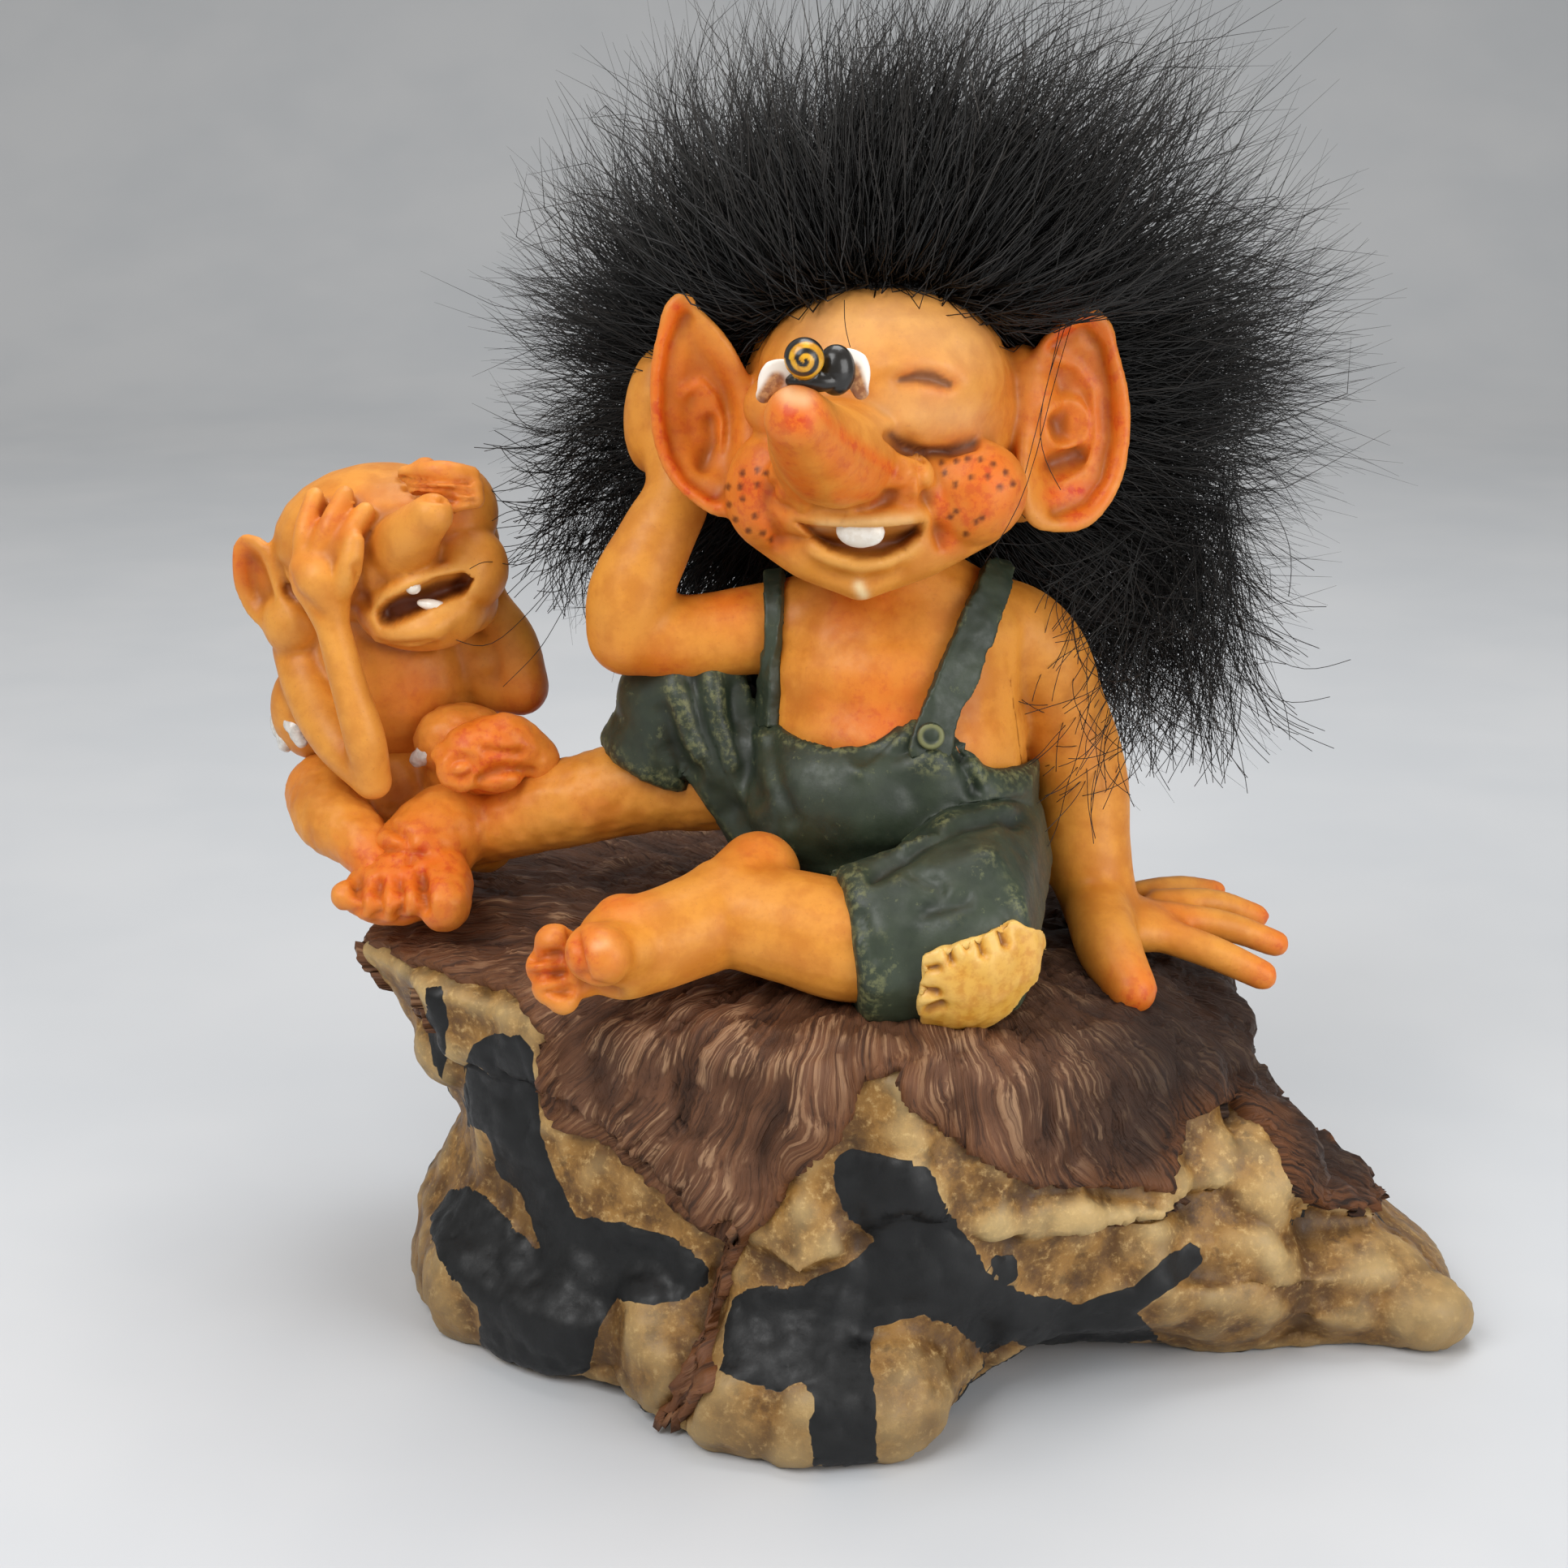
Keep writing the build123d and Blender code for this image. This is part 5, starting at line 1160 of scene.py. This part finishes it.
# %% Hide
hide = cast("hide_cap", copied("wig_hide"), 0.5, 6)
points = points_of(hide)
hairline_y = np.interp(points[:, 2], [80, 92, 96, 98.5, 100.5, 104], [7.0, 4.5, 2.5, -3.0, -7.6, -9.6])
bald = 1 - step(points[:, 1] - hairline_y, 0.5)
inwards = np.array([1.9, -1.2, 90.0]) - points
move_to(hide, points + inwards / np.linalg.norm(inwards, axis=1)[:, None] * (bald * 3.0)[:, None])
measure_relief(hide, 8, 0.4)
finish_piece(hide, hide_paint, "hide", "wig_hide")

# %% Strands
chance = np.random.default_rng(7)
skull = np.array([1.9, -1.2, 90.0])
fur_centre = np.array([5.0, 17.5, 88.0])
fur_limit = [63.0, 36.4, 134.8]
hide_back = 12.5
taper = [1, 1, 0.95, 0.8, 0.55, 0.15]
wisp_rows = 12
fur_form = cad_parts["fur"].data
fur_skin = BVHTree.FromPolygons([corner.co / MM for corner in fur_form.vertices],
                                [face.vertices[:] for face in fur_form.polygons])
kept_clear = [([(940, 470), (965, 415), (1000, 385), (1040, 372), (1100, 370), (1165, 388), (1215, 425),
                (1250, 475), (1256, 640), (1060, 720), (930, 650)], 4.0),
              ([(1262, 470), (1280, 436), (1306, 402), (1357, 388), (1376, 436), (1388, 493), (1388, 543),
                (1380, 587), (1362, 622), (1336, 648), (1274, 645)], 1.5),
              ([(925, 470), (888, 414), (841, 364), (825, 376), (805, 458), (805, 508), (811, 550),
                (832, 592), (888, 634), (925, 600)], -4.0)]
skin, grain = points_of(hide), normals_of(hide)
away = skin - skull
away /= np.linalg.norm(away, axis=1)[:, None]
outer = ((away * grain).sum(axis=1) > 0.4) & (bald < 0.3)
skin, grain = skin[outer], grain[outer]
round_skull = np.arctan2(skin[:, 2] - skull[2], skin[:, 0] - skull[0])


def pore_place(angle, depth):
    """Where the tree keeps a pore: its angle round the skull, on a ring of 10 mm, and its depth."""
    return 10 * cos(angle), 10 * sin(angle), depth

pores = KDTree(len(skin))
for number, (angle, depth) in enumerate(zip(round_skull, skin[:, 1])):
    pores.insert(pore_place(angle, depth), number)
pores.balance()
hairline = np.array([skin[np.abs((round_skull - angle + pi) % (2 * pi) - pi) < 0.2, 1].min()
                     for angle in np.arange(24) * pi / 12])
print("hide", len(skin), "pores, hairline from y", round(hairline.min(), 1), "to", round(hairline.max(), 1))


def grow(count, tuft_size, reach_low, reach_high, thickness, depth_high=1.0):
    """Paths of strands in tufts, from the hide out: points along each, its radii, and its tone."""
    tufts = count // tuft_size
    turn, lean = chance.uniform(0, 2 * pi, tufts), 1.3 * chance.uniform(0, 1, tufts) ** 1.3 - 0.3
    reach = chance.uniform(reach_low, reach_high, tufts)
    sway, drift = chance.normal(0, 0.15, (tufts, 3)), chance.normal(0, 1.8, (tufts, 3))
    turn, lean, reach, sway, drift = [np.repeat(v, tuft_size, axis=0)
                                      for v in (turn, lean, reach, sway, drift)]
    total = len(turn)
    turn = turn + chance.normal(0, 0.05, total)
    lean = np.clip(lean + chance.normal(0, 0.06, total), -0.4, 0.99)
    reach = reach * chance.uniform(0.9, 1.06, total)
    flat = np.sqrt(1 - lean ** 2)
    heading = np.stack([np.cos(turn) * flat, lean, np.sin(turn) * flat], axis=1)
    surface = [fur_skin.ray_cast(Vector(fur_centre + 90 * ray), Vector(-ray))[0]
               or Vector(fur_centre + 20 * ray)
               for ray in heading]
    tip = fur_centre + (np.array(surface) - fur_centre) * reach[:, None] + drift
    start = (turn + chance.normal(0, 0.14, total)) % (2 * pi)
    front = np.interp(start, np.arange(25) * pi / 12, np.append(hairline, hairline[0]))
    back_share = np.clip((lean + 0.3) / 1.3 + chance.normal(0, 0.12, total), 0, 1)
    depth = front + (hide_back - front) * depth_high * back_share
    chosen = [pores.find(pore_place(angle, y))[1] for angle, y in zip(start, depth)]
    root = skin[chosen] - 0.3 * grain[chosen] + chance.normal(0, 0.2, (total, 3))
    out = grain[chosen] * [1, 0.5, 1]
    length = np.linalg.norm(tip - root, axis=1)[:, None]
    bend = root + (0.42 * out + sway + chance.normal(0, 0.08, (total, 3))) * length
    shares = np.linspace(0, 1, len(taper))[None, :, None]
    paths = (root[:, None] * (1 - shares) ** 2 + bend[:, None] * 2 * shares * (1 - shares)
             + tip[:, None] * shares ** 2)
    paths = paths + chance.normal(0, 0.032, (total, len(taper), 3)) * length[:, None] * shares
    paths = np.minimum(paths, fur_limit)
    places = np.concatenate([paths, (paths[:, 1:] + paths[:, :-1]) / 2], axis=1).reshape(-1, 3)
    spots, _ = sight(places)
    crossing = [(inside(spots, outline) > 3) & (places[:, 1] < front) for outline, front in kept_clear]
    clear = ~np.any(crossing, axis=0).reshape(total, -1).any(axis=1)
    radii = thickness * chance.uniform(0.7, 1.2, (total, 1)) * np.array(taper)
    return paths[clear], radii[clear], chance.beta(1.2, 3.0, total)[clear]


def strands(name, paths, radii, tones):
    """One mesh of closed three-sided slivers."""
    total, rows = paths.shape[:2]
    along = np.gradient(paths, axis=1)
    along /= np.linalg.norm(along, axis=2)[..., None]
    side = np.cross(along, [0.3, 0.5, 0.81])
    side /= np.linalg.norm(side, axis=2)[..., None]
    other = np.cross(along, side)
    corners = [paths + radii[..., None] * (side * cos(a) + other * sin(a))
               for a in (0, 2 * pi / 3, 4 * pi / 3)]
    points = np.stack(corners, axis=2).reshape(-1, 3)
    row = np.arange(rows - 1)[:, None] * 3
    sides = np.concatenate([np.stack([row[:, 0] + k, row[:, 0] + (k + 1) % 3, row[:, 0] + 3 + (k + 1) % 3,
                                      row[:, 0] + 3 + k], axis=1) for k in range(3)])
    quads = (np.arange(total)[:, None, None] * rows * 3 + sides[None]).reshape(-1, 4)
    ends = np.array([[2, 1, 0], [rows * 3 - 3, rows * 3 - 2, rows * 3 - 1]])
    caps = (np.arange(total)[:, None, None] * rows * 3 + ends[None]).reshape(-1, 3)
    mesh = bpy.data.meshes.new(name)
    mesh.vertices.add(len(points))
    mesh.vertices.foreach_set("co", (points * MM).astype(np.float32).ravel())
    mesh.loops.add(quads.size + caps.size)
    mesh.loops.foreach_set("vertex_index", np.concatenate([quads.ravel(), caps.ravel()]).astype(np.int32))
    mesh.polygons.add(len(quads) + len(caps))
    starts = np.concatenate([np.arange(len(quads)) * 4, quads.size + np.arange(len(caps)) * 3])
    mesh.polygons.foreach_set("loop_start", starts.astype(np.int32))
    mesh.update(calc_edges=True)
    mesh.validate()
    piece = new_piece(name, mesh)
    # The strand mask is each strand's tone, faded to black towards the root: painted shade at the roots.
    keep(piece, "strand", (tones[:, None] * np.repeat(np.linspace(0.1, 1, rows), 3)[None]).ravel())
    mesh.polygons.foreach_set("use_smooth", np.ones(len(mesh.polygons), dtype=bool))
    return piece


fur_pieces = []
for number in range(6):
    fur_pieces.append(strands(f"fur_{number + 1}", *grow(4700, 12, 0.62 + 0.06 * number, 1.06, 0.08)))
fur_pieces.append(strands("fur_underlayer", *grow(4200, 6, 0.3, 0.6, 0.1, 0.4)))
drawn = [[(1335, 345, 2), (1300, 470, -8), (1262, 610, -15), (1212, 694, -16)],
         [(1330, 350, 0), (1275, 500, -8), (1282, 560, -9), (1306, 600, -8)],
         [(1318, 350, 0), (1290, 480, -8), (1274, 560, -9), (1250, 640, -12)],
         [(1040, 368, -12), (1038, 398, -15), (1046, 426, -15.6)],
         [(700, 700, 8), (650, 760, 4), (600, 800, 2), (560, 790, 1)],
         [(700, 740, 8), (660, 800, 4), (620, 850, 3)],
         [(690, 680, 8), (640, 700, 6), (600, 690, 3), (575, 700, 0)]]
wisps = [[np.array(at(*spot)) for spot in line] for line in drawn]
for count, left, right, top, bottom, fall, near, pace in (
        (110, 1320, 1420, 640, 940, 2.0, (-10, -2), 11), (620, 1370, 1530, 560, 800, 1.7, (0, 12), 17),
        (260, 700, 800, 500, 660, 2.3, (4, 14), 11)):
    for _ in range(count):
        spot = np.array([chance.uniform(left, right), chance.uniform(top, bottom)])
        heading, curl, wisp = chance.normal(fall, 0.3), chance.normal(0, 0.07), []
        for depth in np.linspace(near[1], chance.uniform(*near), wisp_rows):
            wisp.append(np.array(at(spot[0], spot[1], depth)))
            spot = spot + pace * chance.uniform(0.7, 1.2) * np.array([cos(heading), sin(heading)])
            heading += curl + chance.normal(0, 0.12)
        wisps.append(wisp)
paths = []
for wisp in wisps:
    wisp = np.array(wisp) + chance.normal(0, 0.15, (len(wisp), 3))
    places = np.linspace(0, len(wisp) - 1, wisp_rows)
    line = np.stack([np.interp(places, np.arange(len(wisp)), wisp[:, k]) for k in range(3)], axis=1)
    for _ in range(3):
        line[1:-1] = (line[:-2] + line[1:-1] + line[2:]) / 3
    paths.append(line)
fur_pieces.append(strands("fur_wisps", np.array(paths), np.full((len(paths), wisp_rows), 0.045),
                          chance.beta(1.2, 3.0, len(paths))))
for piece in fur_pieces:
    finish_piece(piece, fur_paint, "fur", "fur")

# %% [markdown]
# ## Glue, floor and light
# The glue beads are small uneven drops. The floor is a pale table under a large soft lamp from the left,
# with weaker ones from the right and from above, and a dim sky that lifts the shadows.

# %% Glue
drops = ball(at(344, 893, 12.4), (1.0, 1.0, 1.5)) + ball(at(352, 914, 11.4), (0.9, 1.0, 1.1))
drops += tube([at(352, 876, 10.6), at(362, 896, 9.4), at(372, 914, 8.8)], [0.7, 0.9, 0.7])
drops += tube([at(514, 936, 4.9), at(530, 926, 4.4), at(549, 918, 4.6)], [0.8, 1.2, 0.8])
glue = cast("waist_glue", drops, 0.2, 8)
roughen(glue, 0.9, 0.15, 3.0)
measure_relief(glue, 6, 0.2)
finish_piece(glue, glue_paint, "painted_tooth")

# %% Floor
bpy.ops.mesh.primitive_grid_add(x_subdivisions=2, y_subdivisions=60, size=2, location=(0, 0, 0))
floor = bpy.context.object
floor.name = floor.data.name = "floor"
points = points_of(floor) * MM
run = (points[:, 1] + 1) / 2 * 1800 - 700
rise = np.clip((run - 500) / 600, 0, None) ** 2 * 700
move_to(floor, np.stack([points[:, 0] * 1200, run, rise], axis=1))
bpy.ops.object.shade_smooth()
made, tree, shader, where = paint("pale_table", 0.55, IOR=1.45)
tree.links.new(blend(tree, curve(tree, speckle(tree, where, 60.0), 0.3, 0.7), "#CFD1D4", "#C8CBCF"),
               shader.inputs["Base Color"])
floor.data.materials.append(made)

# %% Light
def lamp(name, place, target, size, power):
    """A square soft lamp that points at a target, all in mm and watts."""
    bpy.ops.object.light_add(type="AREA", location=Vector(place) * MM)
    made = bpy.context.object
    made.name = name
    made.rotation_euler = (Vector(target) - Vector(place)).to_track_quat("-Z", "Y").to_euler()
    made.data.size = size * MM
    made.data.energy = power


lamp("key_lamp", (-240, -280, 420), (0, 0, 50), 320, 1.68)
lamp("fill_lamp", (340, -300, 180), (0, 0, 50), 320, 1.2)
lamp("top_lamp", (40, 120, 480), (0, 0, 50), 300, 1.2)
world = bpy.data.worlds.new("sky")
bpy.context.scene.world = world
world.use_nodes = True
world.node_tree.nodes["Background"].inputs["Color"].default_value = linear("#F2F0EC")
world.node_tree.nodes["Background"].inputs["Strength"].default_value = 0.45
bpy.context.scene.view_settings.view_transform = "Standard"
